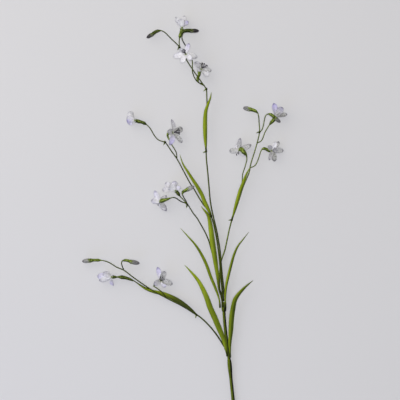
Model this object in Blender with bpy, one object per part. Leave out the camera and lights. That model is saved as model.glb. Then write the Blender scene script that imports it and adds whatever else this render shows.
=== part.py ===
"""A cut rain lily stem lying on a flat surface: one main stem, five flowering branches, nine narrow leaves,
twelve open flowers and seven buds. +X is the photograph's right, +Y runs up the stem and +Z is up."""

import math
from collections import namedtuple

import bmesh
import bpy
from mathutils import Vector
from mathutils.geometry import interpolate_bezier

# Driving dimensions, in millimetres
STEM_END_RADIUS = 2.95
STEM_TOP_RADIUS = 2.5
COLLAR_RADIUS = 3.5
SLEEVE_RADIUS = 4.0
SLEEVE_LENGTH = 16.0
BRANCH_RADIUS = 1.3
STALK_RADIUS = 0.8
LEAF_THICKNESS = 0.8
LEAF_RIDGE = 0.12
PETAL_THICKNESS = 0.8
PETAL_ROLL = 0.8
GAP = 0.3
HUB_RADIUS = 1.9
HUB_DEPTH = 1.5
ANTHER_RADIUS = 0.75
STAMEN_LENGTH = 9.5
STAMEN_LEAN = math.radians(26)
# Radii of a flower's green cup, evenly spaced from its stalk to its petals
CUP_GIRTH = (0.8, 2.7, 2.4, 3.1, 2.6)

# Middle of the whole stem's box in the photograph's millimetres, where its frame has its origin
MIDDLE_X = -24.8
MIDDLE_Y = -59.9

MM = 0.001
ALONG_BRANCH = 15.0
ALONG_STALK = 8.0
LEAF_ROWS = 14
PETAL_ROWS = 4
STAMENS = 6

Leaf = namedtuple("Leaf", "route width widest twist")
Flower = namedtuple("Flower", "stalk cup centre facing petals girth", defaults=(CUP_GIRTH,))
Bud = namedtuple("Bud", "stalk cup tip girth radius")
Branch = namedtuple("Branch", "route nodes blooms")

# Every route is in millimetres from the photograph's middle: right, up the stem, and height over the surface.
MAIN_STEM = (
    (62.0, -415.0, 2.95),
    (58.2, -372.0, 3.1),
    (53.1, -320.0, 3.9),
    (50.0, -290.0, 5.0),
    (47.2, -260.0, 6.3),
    (43.6, -232.0, 7.6),
    (41.0, -210.0, 8.7),
    (39.0, -188.8, 9.9),
    (38.3, -176.0, 10.6),
    (38.1, -166.0, 11.0),
)
COLLAR = ((49.6, -286.0, 5.2), (48.5, -274.0, 5.7), (47.2, -260.0, 6.3), (46.5, -255.0, 6.5))
SLEEVE_END = Vector((38.1, -163.2, 11.0))
STUB = ((44.6, -246.0, 6.9), (42.2, -241.0, 7.1), (39.6, -236.4, 7.2))
STUB_RADIUS = 1.9

# Petals are tips measured from the flower's centre, with the petal's width. A cup's girth and a bud's radius
# are theirs where they differ from the usual.
BRANCHES = {
    "low": Branch(
        route=(
            (39.4, -236.1, 7.2),
            (31.0, -222.4, 7.4),
            (18.4, -205.6, 7.6),
            (1.6, -188.8, 8.2),
            (-14.4, -178.4, 8.8),
            (-32.0, -168.0, 9.4),
            (-48.0, -160.0, 10.0),
            (-64.8, -151.2, 10.7),
            (-80.0, -142.4, 11.4),
            (-96.0, -131.6, 12.2),
            (-108.8, -122.4, 13.0),
            (-122.4, -112.0, 13.6),
            (-132.8, -108.0, 14.0),
            (-144.0, -100.8, 14.5),
            (-152.0, -97.6, 14.5),
            (-158.4, -96.5, 14.0),
        ),
        nodes=((-5.6, -184.0, 8.5),),
        blooms={
            "bud_1": Bud(
                stalk=(),
                cup=((-157.0, -96.6, 14.1), (-167.0, -96.3, 13.3), (-176.0, -96.8, 12.0)),
                tip=(-188.8, -98.6, 9.8),
                girth=(0.8, 2.8, 2.3, 3.6),
                radius=3.8,
            ),
            "bud_2": Bud(
                stalk=(
                    (-121.6, -112.5, 13.5),
                    (-125.3, -104.0, 14.8),
                    (-125.4, -98.6, 15.6),
                    (-123.2, -96.6, 15.8),
                ),
                cup=((-124.6, -97.4, 15.7), (-118.6, -96.4, 16.0), (-111.2, -98.4, 16.0)),
                tip=(-96.8, -101.6, 15.0),
                girth=(0.8, 2.4, 2.5, 2.8),
                radius=3.8,
            ),
            "flower_1": Flower(
                stalk=(
                    (-80.0, -142.4, 11.4),
                    (-86.0, -141.2, 10.2),
                    (-92.8, -137.6, 9.6),
                    (-100.8, -132.8, 9.6),
                    (-107.2, -128.8, 9.8),
                ),
                cup=((-105.6, -129.8, 9.8), (-118.0, -125.0, 10.6), (-128.0, -123.4, 11.4)),
                centre=(-141.6, -123.4, 12.6),
                facing=(-1.0, 0.0, 0.1),
                petals=(
                    (-22.6, 1.8, 7.0, 12.0),
                    (-20.4, -5.6, -5.0, 8.0),
                    (-9.0, 8.6, -12.3, 8.0),
                    (3.0, -14.0, -8.0, 6.5),
                    (-18.0, -6.0, 7.0, 9.0),
                    (-13.0, 7.5, 7.0, 9.0),
                ),
                girth=(0.8, 1.8, 2.4, 2.6, 2.8, 3.2, 3.6, 2.2, 1.1, 2.8, 2.0),
            ),
            "flower_2": Flower(
                stalk=(
                    (-54.4, -156.8, 10.8),
                    (-59.2, -149.0, 12.2),
                    (-68.0, -142.0, 12.4),
                    (-75.4, -137.4, 11.2),
                ),
                cup=((-74.2, -138.0, 11.0), (-71.0, -134.6, 8.8), (-67.0, -132.0, 8.4)),
                centre=(-62.7, -129.0, 16.5),
                facing=(0.15, 0.25, 0.95),
                petals=(
                    (-5.5, 21.9, 0.0, 8.0),
                    (6.7, 15.3, 8.0, 9.0),
                    (18.9, -5.8, 2.0, 9.0),
                    (-10.8, -6.8, 8.0, 9.0),
                    (7.0, -11.0, -2.0, 8.0),
                    (12.0, -2.0, -9.0, 7.0),
                ),
            ),
        },
    ),
    "left": Branch(
        route=(
            (37.5, -162.6, 13.2),
            (36.2, -150.0, 13.9),
            (34.6, -136.0, 14.3),
            (33.2, -120.0, 14.6),
            (31.5, -99.2, 15.0),
            (29.9, -84.8, 15.3),
            (27.7, -68.8, 15.7),
            (25.2, -54.4, 16.2),
            (22.6, -42.0, 16.7),
            (20.6, -33.6, 16.9),
            (16.8, -24.0, 16.6),
            (11.2, -14.4, 15.6),
            (4.8, -6.4, 14.6),
            (-3.2, 6.4, 13.6),
            (-9.6, 17.6, 13.6),
            (-16.0, 27.2, 13.9),
            (-27.2, 48.0, 14.5),
            (-37.6, 67.2, 15.0),
            (-44.8, 76.8, 15.0),
            (-56.0, 92.8, 15.0),
            (-60.8, 93.8, 15.0),
            (-67.2, 96.4, 15.0),
            (-73.6, 104.0, 15.0),
            (-78.4, 112.8, 14.8),
            (-82.4, 117.8, 14.4),
            (-86.4, 121.3, 14.0),
        ),
        nodes=((17.6, -25.6, 16.7), (-56.0, 92.8, 15.0)),
        blooms={
            "flower_1": Flower(
                stalk=(),
                cup=((-85.2, 120.4, 14.1), (-92.0, 124.2, 13.5)),
                centre=(-104.4, 127.6, 12.6),
                facing=(-0.95, 0.28, 0.1),
                petals=(
                    (-7.8, 14.4, 4.0, 11.5),
                    (-12.6, 3.4, 8.0, 10.0),
                    (-12.8, -1.6, 8.0, 10.0),
                    (-8.6, -7.6, 1.0, 10.0),
                    (-10.0, -3.0, -12.4, 8.0),
                    (-5.0, 8.0, -10.4, 8.0),
                ),
                girth=(0.9, 3.0, 2.6, 3.4, 3.0),
            ),
            "flower_2": Flower(
                stalk=(
                    (-37.0, 66.0, 15.0),
                    (-37.7, 75.0, 16.6),
                    (-40.8, 81.6, 16.6),
                    (-44.8, 87.6, 15.6),
                    (-49.0, 96.0, 13.4),
                ),
                cup=((-48.2, 94.4, 13.8), (-51.4, 101.2, 13.2), (-51.8, 105.4, 13.6)),
                centre=(-44.0, 108.0, 17.0),
                facing=(0.9, 0.12, 0.42),
                petals=(
                    (-1.8, 21.0, 2.0, 6.0),
                    (16.0, 7.2, -9.0, 10.0),
                    (15.0, -16.4, -4.0, 7.5),
                    (-4.6, -20.6, 4.0, 9.0),
                    (-8.5, 0.6, 14.0, 10.0),
                    (0.6, 17.0, -3.0, 6.5),
                ),
                girth=(0.8, 1.4, 1.8, 2.4, 2.4),
            ),
        },
    ),
    "middle": Branch(
        route=(
            (35.6, -162.6, 10.6),
            (32.0, -145.0, 11.4),
            (28.2, -128.0, 12.2),
            (25.6, -112.0, 12.8),
            (22.2, -96.0, 13.2),
            (18.2, -80.0, 13.6),
            (13.6, -64.0, 14.0),
            (8.0, -51.2, 14.5),
            (0.8, -38.4, 15.0),
            (-4.8, -28.8, 15.4),
            (-11.2, -20.8, 15.8),
            (-16.0, -12.8, 16.2),
            (-21.6, -5.6, 16.8),
            (-30.4, -2.6, 18.0),
            (-36.8, 2.2, 20.4),
            (-42.4, 4.6, 22.6),
            (-48.0, 2.6, 24.0),
        ),
        nodes=((-20.4, -7.2, 16.6),),
        blooms={
            "flower_1": Flower(
                stalk=(),
                cup=((-46.6, 3.4, 23.8), (-53.6, 0.8, 25.6)),
                centre=(-63.0, -2.4, 18.0),
                facing=(-0.38, -0.22, -0.9),
                petals=(
                    (-9.6, 17.6, -2.0, 8.5),
                    (-15.0, 1.8, 1.0, 9.0),
                    (3.0, -11.0, -9.0, 8.0),
                    (9.4, -15.0, -3.0, 9.0),
                    (9.8, 9.6, -7.0, 7.5),
                    (-12.0, 6.0, -9.0, 7.0),
                ),
                girth=(0.8, 2.2, 2.8, 4.0, 3.4),
            ),
            "flower_2": Flower(
                stalk=((-20.8, -6.6, 16.7), (-26.4, 0.4, 15.6), (-31.6, 5.0, 13.6)),
                cup=((-30.4, 4.0, 14.1), (-33.4, 7.8, 13.8)),
                centre=(-39.2, 15.2, 15.0),
                facing=(-0.65, 0.74, 0.12),
                petals=(
                    (-16.8, 12.0, -5.0, 11.0),
                    (-0.6, 15.0, 4.0, 11.0),
                    (-21.6, 0.4, 2.0, 10.0),
                    (8.8, 3.8, 6.0, 7.0),
                    (-9.0, 6.0, 12.0, 12.0),
                    (0.0, 7.0, -12.0, 8.0),
                ),
                girth=(0.8, 1.0, 2.9, 3.2, 2.2),
            ),
            "bud": Bud(
                stalk=((-19.6, -8.2, 16.5), (-22.4, -1.6, 18.6), (-26.4, 5.0, 20.0), (-28.6, 9.6, 20.6)),
                cup=((-28.2, 8.4, 20.5), (-27.4, 12.6, 20.9), (-20.6, 16.6, 21.0)),
                tip=(-9.4, 21.8, 21.2),
                girth=(0.8, 2.4, 2.8, 3.0),
                radius=3.6,
            ),
        },
    ),
    "top": Branch(
        route=(
            (40.4, -162.6, 11.2),
            (38.3, -145.0, 11.6),
            (36.3, -128.0, 11.9),
            (33.6, -99.2, 12.6),
            (31.9, -80.0, 13.0),
            (29.4, -64.0, 13.5),
            (26.4, -48.0, 14.0),
            (22.6, -32.0, 14.3),
            (18.9, -16.0, 14.8),
            (16.3, 0.0, 15.2),
            (14.4, 20.8, 15.7),
            (12.8, 40.0, 16.2),
            (10.4, 64.0, 16.7),
            (9.8, 77.6, 17.0),
            (10.4, 96.0, 17.2),
            (10.6, 136.0, 17.5),
            (11.2, 153.6, 17.6),
            (10.8, 166.0, 17.7),
            (10.2, 177.6, 17.8),
            (5.6, 184.0, 17.8),
            (0.0, 192.0, 17.8),
            (-10.7, 207.2, 17.5),
            (-21.6, 224.0, 17.0),
            (-33.4, 245.6, 16.2),
            (-43.2, 255.2, 16.4),
            (-51.2, 263.2, 16.8),
            (-56.8, 268.8, 16.8),
            (-63.2, 271.5, 16.4),
        ),
        nodes=((9.8, 77.6, 17.0), (10.2, 177.6, 17.8), (-33.0, 244.8, 16.2)),
        blooms={
            "bud_1": Bud(
                stalk=(),
                cup=((-62.0, 271.2, 16.5), (-69.0, 270.0, 15.8), (-76.0, 265.6, 14.4)),
                tip=(-85.4, 259.6, 12.0),
                girth=(0.8, 2.7, 3.1, 3.2),
                radius=3.3,
            ),
            "bud_2": Bud(
                stalk=(
                    (-22.4, 225.6, 17.0),
                    (-21.4, 236.0, 18.4),
                    (-23.0, 246.0, 20.4),
                    (-28.0, 255.2, 22.8),
                    (-29.4, 261.4, 23.2),
                ),
                cup=((-29.2, 260.0, 23.1), (-27.8, 268.2, 23.3), (-22.0, 270.4, 23.0), (-14.6, 270.4, 22.4)),
                tip=(-1.6, 270.1, 21.0),
                girth=(0.8, 3.0, 3.3, 3.4),
                radius=3.4,
            ),
            "flower_1": Flower(
                stalk=((-32.6, 244.2, 16.2), (-33.3, 252.8, 14.8), (-32.8, 259.4, 14.0)),
                cup=((-32.9, 258.0, 14.1), (-31.6, 265.0, 13.8)),
                centre=(-28.8, 276.0, 13.6),
                facing=(0.12, 0.98, 0.1),
                petals=(
                    (-10.7, 16.6, 3.0, 9.5),
                    (4.3, 19.4, -5.0, 9.0),
                    (10.5, 9.4, 1.0, 8.0),
                    (-8.0, 9.0, -10.0, 8.0),
                    (-3.0, 13.0, 9.0, 10.5),
                    (4.0, 11.0, -13.4, 8.0),
                ),
            ),
            "flower_2": Flower(
                stalk=(
                    (4.6, 185.4, 17.8),
                    (-4.0, 188.8, 19.4),
                    (-9.4, 196.8, 20.4),
                    (-12.0, 204.8, 21.0),
                    (-12.2, 214.4, 21.2),
                    (-12.0, 221.6, 20.8),
                    (-14.4, 225.4, 20.0),
                ),
                cup=((-13.8, 224.6, 20.2), (-18.0, 227.6, 19.6)),
                centre=(-22.4, 232.2, 26.0),
                facing=(-0.3, 0.45, 0.84),
                petals=(
                    (5.2, 17.8, -2.0, 7.5),
                    (17.8, -4.8, -1.0, 9.0),
                    (-20.0, -4.2, 1.0, 10.5),
                    (-7.0, -14.2, 4.0, 9.0),
                    (-10.0, 9.0, 10.0, 6.5),
                    (9.0, -9.6, 6.0, 8.0),
                ),
            ),
            "flower_3": Flower(
                stalk=((6.4, 183.2, 17.8), (0.4, 186.0, 16.2), (-3.6, 190.2, 14.6)),
                cup=((-2.8, 188.8, 15.0), (-3.6, 195.0, 13.4), (-1.2, 201.0, 12.6)),
                centre=(1.6, 208.8, 17.0),
                facing=(0.45, 0.6, 0.66),
                petals=(
                    (-10.4, 11.2, 5.0, 8.5),
                    (0.4, 11.4, -10.0, 7.5),
                    (16.6, -2.6, 2.0, 8.0),
                    (11.4, -12.2, 4.0, 9.0),
                    (11.0, 6.0, -12.0, 8.0),
                    (-5.6, -3.4, 13.0, 8.0),
                ),
            ),
        },
    ),
    "right": Branch(
        route=(
            (38.3, -162.4, 8.5),
            (35.6, -153.0, 8.0),
            (31.7, -144.0, 7.6),
            (31.2, -128.0, 7.5),
            (32.0, -112.0, 7.7),
            (33.6, -99.2, 8.0),
            (36.4, -90.4, 8.4),
            (40.0, -80.0, 9.0),
            (43.4, -64.0, 9.8),
            (47.2, -46.4, 10.6),
            (51.0, -32.0, 11.2),
            (57.6, -14.4, 12.0),
            (62.4, 0.0, 12.6),
            (69.6, 22.4, 13.4),
            (74.6, 34.0, 14.0),
            (79.0, 44.8, 14.4),
            (80.8, 56.0, 14.9),
            (87.2, 76.8, 15.7),
            (91.4, 91.2, 16.2),
            (95.4, 109.6, 17.0),
            (94.6, 123.2, 18.0),
            (93.8, 134.4, 18.6),
            (92.2, 139.8, 18.6),
        ),
        nodes=((51.0, -32.0, 11.2), (95.3, 108.8, 17.0)),
        blooms={
            "bud_2": Bud(
                stalk=(),
                cup=((92.8, 138.6, 18.6), (88.0, 142.6, 18.2), (79.0, 145.4, 17.6)),
                tip=(69.2, 147.4, 16.4),
                girth=(0.8, 2.6, 3.0, 3.7),
                radius=3.7,
            ),
            "bud_1": Bud(
                stalk=(
                    (95.2, 108.0, 17.0),
                    (99.2, 112.4, 18.6),
                    (101.6, 120.8, 20.8),
                    (103.4, 130.4, 22.8),
                    (105.6, 135.8, 23.8),
                    (109.6, 138.0, 24.2),
                ),
                cup=((108.2, 137.6, 24.1), (113.6, 136.2, 24.4), (119.6, 131.2, 24.0)),
                tip=(128.4, 124.0, 22.4),
                girth=(0.8, 2.7, 2.9, 3.0),
                radius=3.1,
            ),
            "flower_1": Flower(
                stalk=(
                    (91.4, 91.2, 16.2),
                    (97.9, 94.4, 15.6),
                    (101.3, 101.0, 14.6),
                    (104.4, 109.1, 13.8),
                    (111.6, 121.0, 13.1),
                ),
                cup=((110.8, 119.8, 13.1), (114.6, 124.6, 13.0)),
                centre=(120.8, 132.6, 13.0),
                facing=(0.55, 0.8, 0.15),
                petals=(
                    (-3.0, 22.6, 1.0, 10.0),
                    (10.8, 15.6, 10.0, 10.5),
                    (18.8, 4.0, 2.0, 7.5),
                    (9.0, 6.0, -10.5, 7.5),
                    (0.0, 14.0, -10.0, 8.0),
                    (8.0, 3.0, 10.5, 7.5),
                ),
                girth=(0.8, 2.4, 3.2, 3.4, 2.8),
            ),
            "flower_2": Flower(
                stalk=(
                    (67.4, 15.6, 13.2),
                    (67.6, 24.8, 14.0),
                    (67.6, 33.0, 15.0),
                    (68.3, 41.6, 16.6),
                    (71.0, 50.1, 18.2),
                    (73.3, 57.6, 19.6),
                    (75.2, 65.4, 20.8),
                ),
                cup=((75.0, 64.0, 20.6), (74.0, 71.6, 22.2), (69.4, 77.0, 23.2)),
                centre=(63.2, 80.0, 15.5),
                facing=(-0.42, -0.32, -0.85),
                petals=(
                    (1.4, 19.2, -4.0, 8.0),
                    (19.2, 8.6, -6.0, 9.0),
                    (-16.0, -1.2, 3.0, 9.0),
                    (8.5, -9.0, -7.0, 7.5),
                    (-4.5, 9.5, -11.0, 8.0),
                    (7.0, 1.0, -13.0, 7.5),
                ),
                girth=(0.8, 1.2, 3.6, 4.1, 2.4),
            ),
            "flower_3": Flower(
                stalk=(
                    (80.4, 52.0, 14.8),
                    (84.6, 53.0, 14.4),
                    (88.6, 55.8, 13.8),
                    (91.6, 61.0, 13.0),
                    (94.9, 69.8, 12.0),
                    (96.9, 76.4, 11.0),
                    (99.2, 81.4, 9.8),
                ),
                cup=((98.6, 80.4, 10.0), (102.6, 82.6, 8.2), (107.6, 80.8, 7.0)),
                centre=(114.4, 79.2, 11.6),
                facing=(0.55, 0.0, 0.83),
                petals=(
                    (-5.6, 7.4, 12.0, 8.0),
                    (6.6, 14.0, 5.0, 8.0),
                    (12.3, 14.7, -4.0, 7.5),
                    (19.6, 0.4, -6.0, 9.0),
                    (5.0, -17.6, 1.0, 9.5),
                    (-4.0, -15.6, 7.0, 6.5),
                ),
            ),
        },
    ),
}

LEAVES = {
    "leaf_left_upper": Leaf(
        route=(
            (32.2, -173.0, 10.8),
            (31.0, -160.0, 11.0),
            (25.4, -143.0, 11.8),
            (17.1, -122.9, 13.6),
            (9.3, -101.6, 16.0),
            (0.3, -83.7, 18.4),
            (-8.6, -70.4, 19.6),
            (-20.0, -57.6, 19.0),
            (-31.5, -44.8, 16.4),
        ),
        width=5.0,
        widest=0.45,
        twist=25.0,
    ),
    "leaf_left_lower": Leaf(
        route=(
            (43.9, -251.0, 10.0),
            (42.6, -243.2, 11.2),
            (38.0, -224.0, 12.6),
            (31.2, -207.2, 14.6),
            (23.6, -188.8, 17.4),
            (16.2, -172.3, 20.0),
            (10.4, -155.6, 21.6),
            (4.0, -141.4, 21.4),
            (-3.2, -128.6, 19.4),
            (-14.4, -115.2, 14.6),
            (-25.0, -104.0, 8.4),
        ),
        width=9.2,
        widest=0.42,
        twist=10.0,
    ),
    "leaf_right_lower": Leaf(
        route=(
            (48.5, -253.0, 9.9),
            (48.2, -243.0, 11.4),
            (47.8, -230.0, 12.6),
            (49.6, -208.0, 15.8),
            (50.9, -188.8, 19.0),
            (53.3, -172.3, 21.8),
            (56.5, -158.9, 23.6),
            (64.3, -147.7, 24.2),
            (75.5, -136.5, 22.4),
            (85.1, -128.6, 19.0),
        ),
        width=8.6,
        widest=0.5,
        twist=-30.0,
    ),
    "leaf_right_upper": Leaf(
        route=(
            (40.7, -172.6, 15.5),
            (40.4, -160.0, 15.7),
            (41.0, -146.0, 15.4),
            (42.6, -134.0, 15.4),
            (45.6, -121.0, 16.0),
            (51.2, -99.2, 17.4),
            (54.8, -86.9, 19.2),
            (60.8, -73.6, 20.6),
            (67.8, -64.5, 20.6),
            (78.2, -51.2, 18.0),
        ),
        width=4.6,
        widest=0.45,
        twist=-20.0,
    ),
    "leaf_middle": Leaf(
        route=(
            (36.6, -172.0, 15.5),
            (34.8, -158.0, 16.2),
            (30.6, -144.0, 16.8),
            (29.0, -128.0, 17.3),
            (26.8, -112.0, 17.8),
            (24.3, -96.0, 18.3),
            (21.9, -80.0, 18.9),
            (19.6, -64.0, 19.5),
            (17.6, -48.0, 20.1),
            (15.8, -35.2, 20.5),
            (12.9, -24.0, 20.9),
            (7.2, -16.8, 21.2),
            (1.6, -10.0, 21.2),
        ),
        width=8.4,
        widest=0.62,
        twist=0.0,
    ),
    "leaf_low_branch": Leaf(
        route=(
            (-4.8, -184.6, 11.3),
            (-14.4, -176.4, 12.2),
            (-24.0, -168.8, 12.5),
            (-36.0, -160.8, 12.3),
            (-48.0, -154.8, 9.4),
            (-60.0, -150.2, 7.6),
            (-70.0, -148.0, 7.0),
            (-84.0, -144.0, 6.2),
            (-96.0, -137.0, 5.0),
            (-106.0, -129.6, 3.8),
        ),
        width=7.4,
        widest=0.34,
        twist=0.0,
    ),
    "leaf_left_branch": Leaf(
        route=(
            (18.4, -26.4, 19.2),
            (16.0, -21.0, 19.1),
            (12.2, -12.4, 18.6),
            (7.2, -2.4, 18.3),
            (3.2, 8.0, 18.1),
            (-4.8, 22.4, 18.0),
            (-11.2, 32.0, 18.0),
            (-19.2, 44.8, 18.0),
            (-27.2, 57.6, 17.6),
            (-32.6, 73.6, 16.4),
        ),
        width=6.2,
        widest=0.3,
        twist=-8.0,
    ),
    "leaf_top_branch": Leaf(
        route=(
            (9.8, 78.6, 19.5),
            (8.6, 96.0, 19.7),
            (7.9, 120.0, 20.2),
            (9.0, 140.8, 20.6),
            (12.8, 153.6, 21.4),
            (16.6, 163.2, 22.0),
            (18.2, 172.3, 22.0),
        ),
        width=6.8,
        widest=0.42,
        twist=12.0,
    ),
    "leaf_right_branch": Leaf(
        route=(
            (51.0, -31.4, 13.8),
            (56.0, -14.4, 15.0),
            (60.0, 0.0, 15.6),
            (63.7, 12.8, 16.6),
            (68.2, 25.6, 17.8),
            (73.6, 40.0, 18.8),
            (80.0, 52.8, 19.4),
        ),
        width=6.0,
        widest=0.45,
        twist=8.0,
    ),
}

# Name, colour, roughness and metallic value of each finish
FINISHES = {
    "stem": ((0.075, 0.110, 0.012, 1.0), 0.55),
    "leaf": ((0.150, 0.220, 0.025, 1.0), 0.5),
    "petal": ((0.690, 0.670, 0.760, 1.0), 0.6),
    "stamen": ((0.035, 0.022, 0.060, 1.0), 0.6),
    "bud": ((0.240, 0.180, 0.210, 1.0), 0.6),
}


def clear_scene():
    for old in list(bpy.data.objects):
        bpy.data.objects.remove(old, do_unlink=True)


def vectors(points):
    return [Vector(point) for point in points]


def point_along(points, share):
    """The point at this share of a chain's length."""
    lengths = [(after - here).length for here, after in zip(points, points[1:])]
    wanted = share * sum(lengths)
    for here, after, length in zip(points, points[1:], lengths):
        if wanted <= length:
            return here.lerp(after, wanted / length)
        wanted -= length
    return points[-1].copy()


def smooth_route(points, pieces):
    """Evenly spaced points on a smooth curve through the given ones."""
    points = vectors(points)
    stations = [0.0]
    for here, after in zip(points, points[1:]):
        stations.append(stations[-1] + (after - here).length)
    last = len(points) - 1
    slopes = []
    for i in range(last + 1):
        low, high = max(i - 1, 0), min(i + 1, last)
        slopes.append((points[high] - points[low]) / (stations[high] - stations[low]))
    chain = []
    for i in range(last):
        reach = (stations[i + 1] - stations[i]) / 3
        handles = points[i] + slopes[i] * reach, points[i + 1] - slopes[i + 1] * reach
        chain += interpolate_bezier(points[i], *handles, points[i + 1], 12)[:-1]
    chain.append(points[-1])
    return [point_along(chain, i / pieces) for i in range(pieces + 1)]


def directions(line):
    """Unit vector along the line at each of its points."""
    last = len(line) - 1
    return [(line[min(i + 1, last)] - line[max(i - 1, 0)]).normalized() for i in range(last + 1)]


def ramp(values, share):
    """The value at this share of an evenly spaced list."""
    place = share * (len(values) - 1)
    low = min(int(place), len(values) - 2)
    return values[low] + (values[low + 1] - values[low]) * (place - low)


def rolled_grid(rows, around, place, blade=False):
    """A grid rolled into a closed skin: place(row, column) gives each vertex, and both ends are filled."""
    skin = bmesh.new()
    bmesh.ops.create_grid(skin, x_segments=around, y_segments=rows, size=0.5)
    upper = []
    lower = []
    for face in skin.faces:
        column = int((face.calc_center_median().x + 0.5) * around)
        (upper if column < around // 2 else lower).append(face)
    for vertex in skin.verts:
        column = round((vertex.co.x + 0.5) * around) % around
        row = round((vertex.co.y + 0.5) * rows)
        vertex.co = place(row, column) * MM
    if blade:
        # Both faces of a blade are split along the same diagonals.
        bmesh.ops.triangulate(skin, faces=upper, quad_method="FIXED")
        bmesh.ops.triangulate(skin, faces=lower, quad_method="ALTERNATE")
    bmesh.ops.remove_doubles(skin, verts=skin.verts, dist=1e-7)
    bmesh.ops.holes_fill(skin, edges=skin.edges, sides=0)
    bmesh.ops.recalc_face_normals(skin, faces=skin.faces)
    return skin


def as_object(name, skin):
    mesh = bpy.data.meshes.new(name)
    skin.to_mesh(mesh)
    skin.free()
    made = bpy.data.objects.new(name, mesh)
    bpy.context.scene.collection.objects.link(made)
    return made


def tube(route, radii, spacing, sides):
    """A round solid along a smooth route, its radius read from an evenly spaced list."""
    points = vectors(route)
    length = sum((after - here).length for here, after in zip(points, points[1:]))
    rows = max(3, round(length / spacing))
    line = smooth_route(route, rows)
    along = directions(line)
    normals = []
    normal = Vector((0, 0, 1))
    for direction in along:
        normal = (normal - direction * normal.dot(direction)).normalized()
        normals.append(normal)

    def place(row, column):
        turn = 2 * math.pi * column / sides
        out = normals[row] * math.cos(turn) + along[row].cross(normals[row]) * math.sin(turn)
        return line[row] + out * ramp(radii, row / rows)

    return as_object("tube", rolled_grid(rows, sides, place))


def blade(line, sides_of, widths, thickness, raised):
    """A thin solid three points wide: middle line, sideways direction, width and edge lift at each row."""
    along = directions(line)
    rows = len(line) - 1
    steps = ((-1, 1), (0, 1), (1, 1), (1, -1), (0, -1), (-1, -1))

    def place(row, column):
        across, face = steps[column]
        side = sides_of[row]
        normal = side.cross(along[row]).normalized()
        edge = side * (across * widths[row] / 2) + normal * (abs(across) * raised * widths[row])
        point = line[row] + edge
        # What would dip under the surface lies flat on it.
        point.z = max(point.z, thickness / 2)
        return point + normal * (face * thickness / 2)

    return as_object("blade", rolled_grid(rows, len(steps), place, blade=True))


def swell(share, widest):
    """Zero at both ends and one at the widest share, as the outline of a leaf."""
    return math.sin(math.pi * share ** (math.log(0.5) / math.log(widest)))


def leaf_blade(leaf):
    line = smooth_route(leaf.route, LEAF_ROWS)
    sides_of = []
    widths = []
    for row, direction in enumerate(directions(line)):
        share = row / LEAF_ROWS
        side = direction.cross(Vector((0, 0, 1))).normalized()
        turn = math.radians(leaf.twist) * share
        normal = side.cross(direction)
        sides_of.append(side * math.cos(turn) + normal * math.sin(turn))
        base = 3.2 * (1 - share) ** 3
        widths.append(max(1.0, base, leaf.width * swell(share, leaf.widest) ** 0.75))
    return blade(line, sides_of, widths, LEAF_THICKNESS, -LEAF_RIDGE)


def petal_blade(centre, facing, petal):
    """A petal that leaves the flower's throat forwards and arches out to its tip, rolling flat as it goes."""
    tip = Vector(petal[:3])
    outward = (tip - facing * tip.dot(facing)).normalized()
    root = centre + outward * 0.5
    leaving = root + outward * 3.0 + facing * 2.2
    arching = centre + tip * 0.62 + facing * 3.2
    line = interpolate_bezier(root, leaving, arching, centre + tip, PETAL_ROWS + 1)
    level = outward.cross(facing)
    sides_of = []
    widths = []
    for row, direction in enumerate(directions(line)):
        share = row / PETAL_ROWS
        flat = direction.cross(Vector((0, 0, 1))).normalized()
        flat *= 1 if flat.dot(level) > 0 else -1
        sides_of.append(level.lerp(flat, PETAL_ROLL * min(1, 1.4 * share)).normalized())
        widths.append(max(petal[3] * 0.35 * share, 2.2 * (1 - share), petal[3] * swell(share, 0.6) ** 0.5))
    return blade(line, sides_of, widths, PETAL_THICKNESS, 0.05)


def hub(centre, facing):
    ends = centre - facing * HUB_DEPTH, centre, centre + facing * HUB_DEPTH
    return tube(ends, (HUB_RADIUS, HUB_RADIUS, HUB_RADIUS * 0.7), 1.0, 6)


def stamen_set(centre, facing, petals):
    """Slim stamens on a small knob seated just over the hub, leaning as far as the petals open."""
    opening = min(facing.angle(Vector(petal[:3])) for petal in petals)
    lean = min(STAMEN_LEAN, 0.1 + opening * 0.3)
    seat = centre + facing * (HUB_DEPTH + GAP)
    pieces = [tube((seat, seat + facing * 0.8, seat + facing * 1.6), (0.8, 0.8, 0.5), 0.8, 5)]
    first = facing.orthogonal().normalized()
    second = facing.cross(first)
    for i in range(STAMENS):
        turn = 2 * math.pi * (i + 0.25) / STAMENS
        out = first * math.cos(turn) + second * math.sin(turn)
        base = seat + facing * 0.8 + out * 0.4
        length = STAMEN_LENGTH * (0.86 + 0.07 * (i % 3))
        end = base + (facing * math.cos(lean) + out * math.sin(lean)) * length
        bend = base.lerp(end, 0.5) - out * math.sin(lean) * length * 0.1
        pieces.append(tube((base, bend, end), (0.45, 0.4, 0.4, ANTHER_RADIUS, 0.35), length / 3, 3))
    return pieces


def finish_material(name):
    found = bpy.data.materials.get(name)
    if found:
        return found
    colour, roughness = FINISHES[name]
    made = bpy.data.materials.new(name)
    made.use_nodes = True
    shader = made.node_tree.nodes["Principled BSDF"]
    shader.inputs["Base Color"].default_value = colour
    shader.inputs["Roughness"].default_value = roughness
    shader.inputs["Metallic"].default_value = 0.0
    made.diffuse_color = colour
    return made


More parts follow.
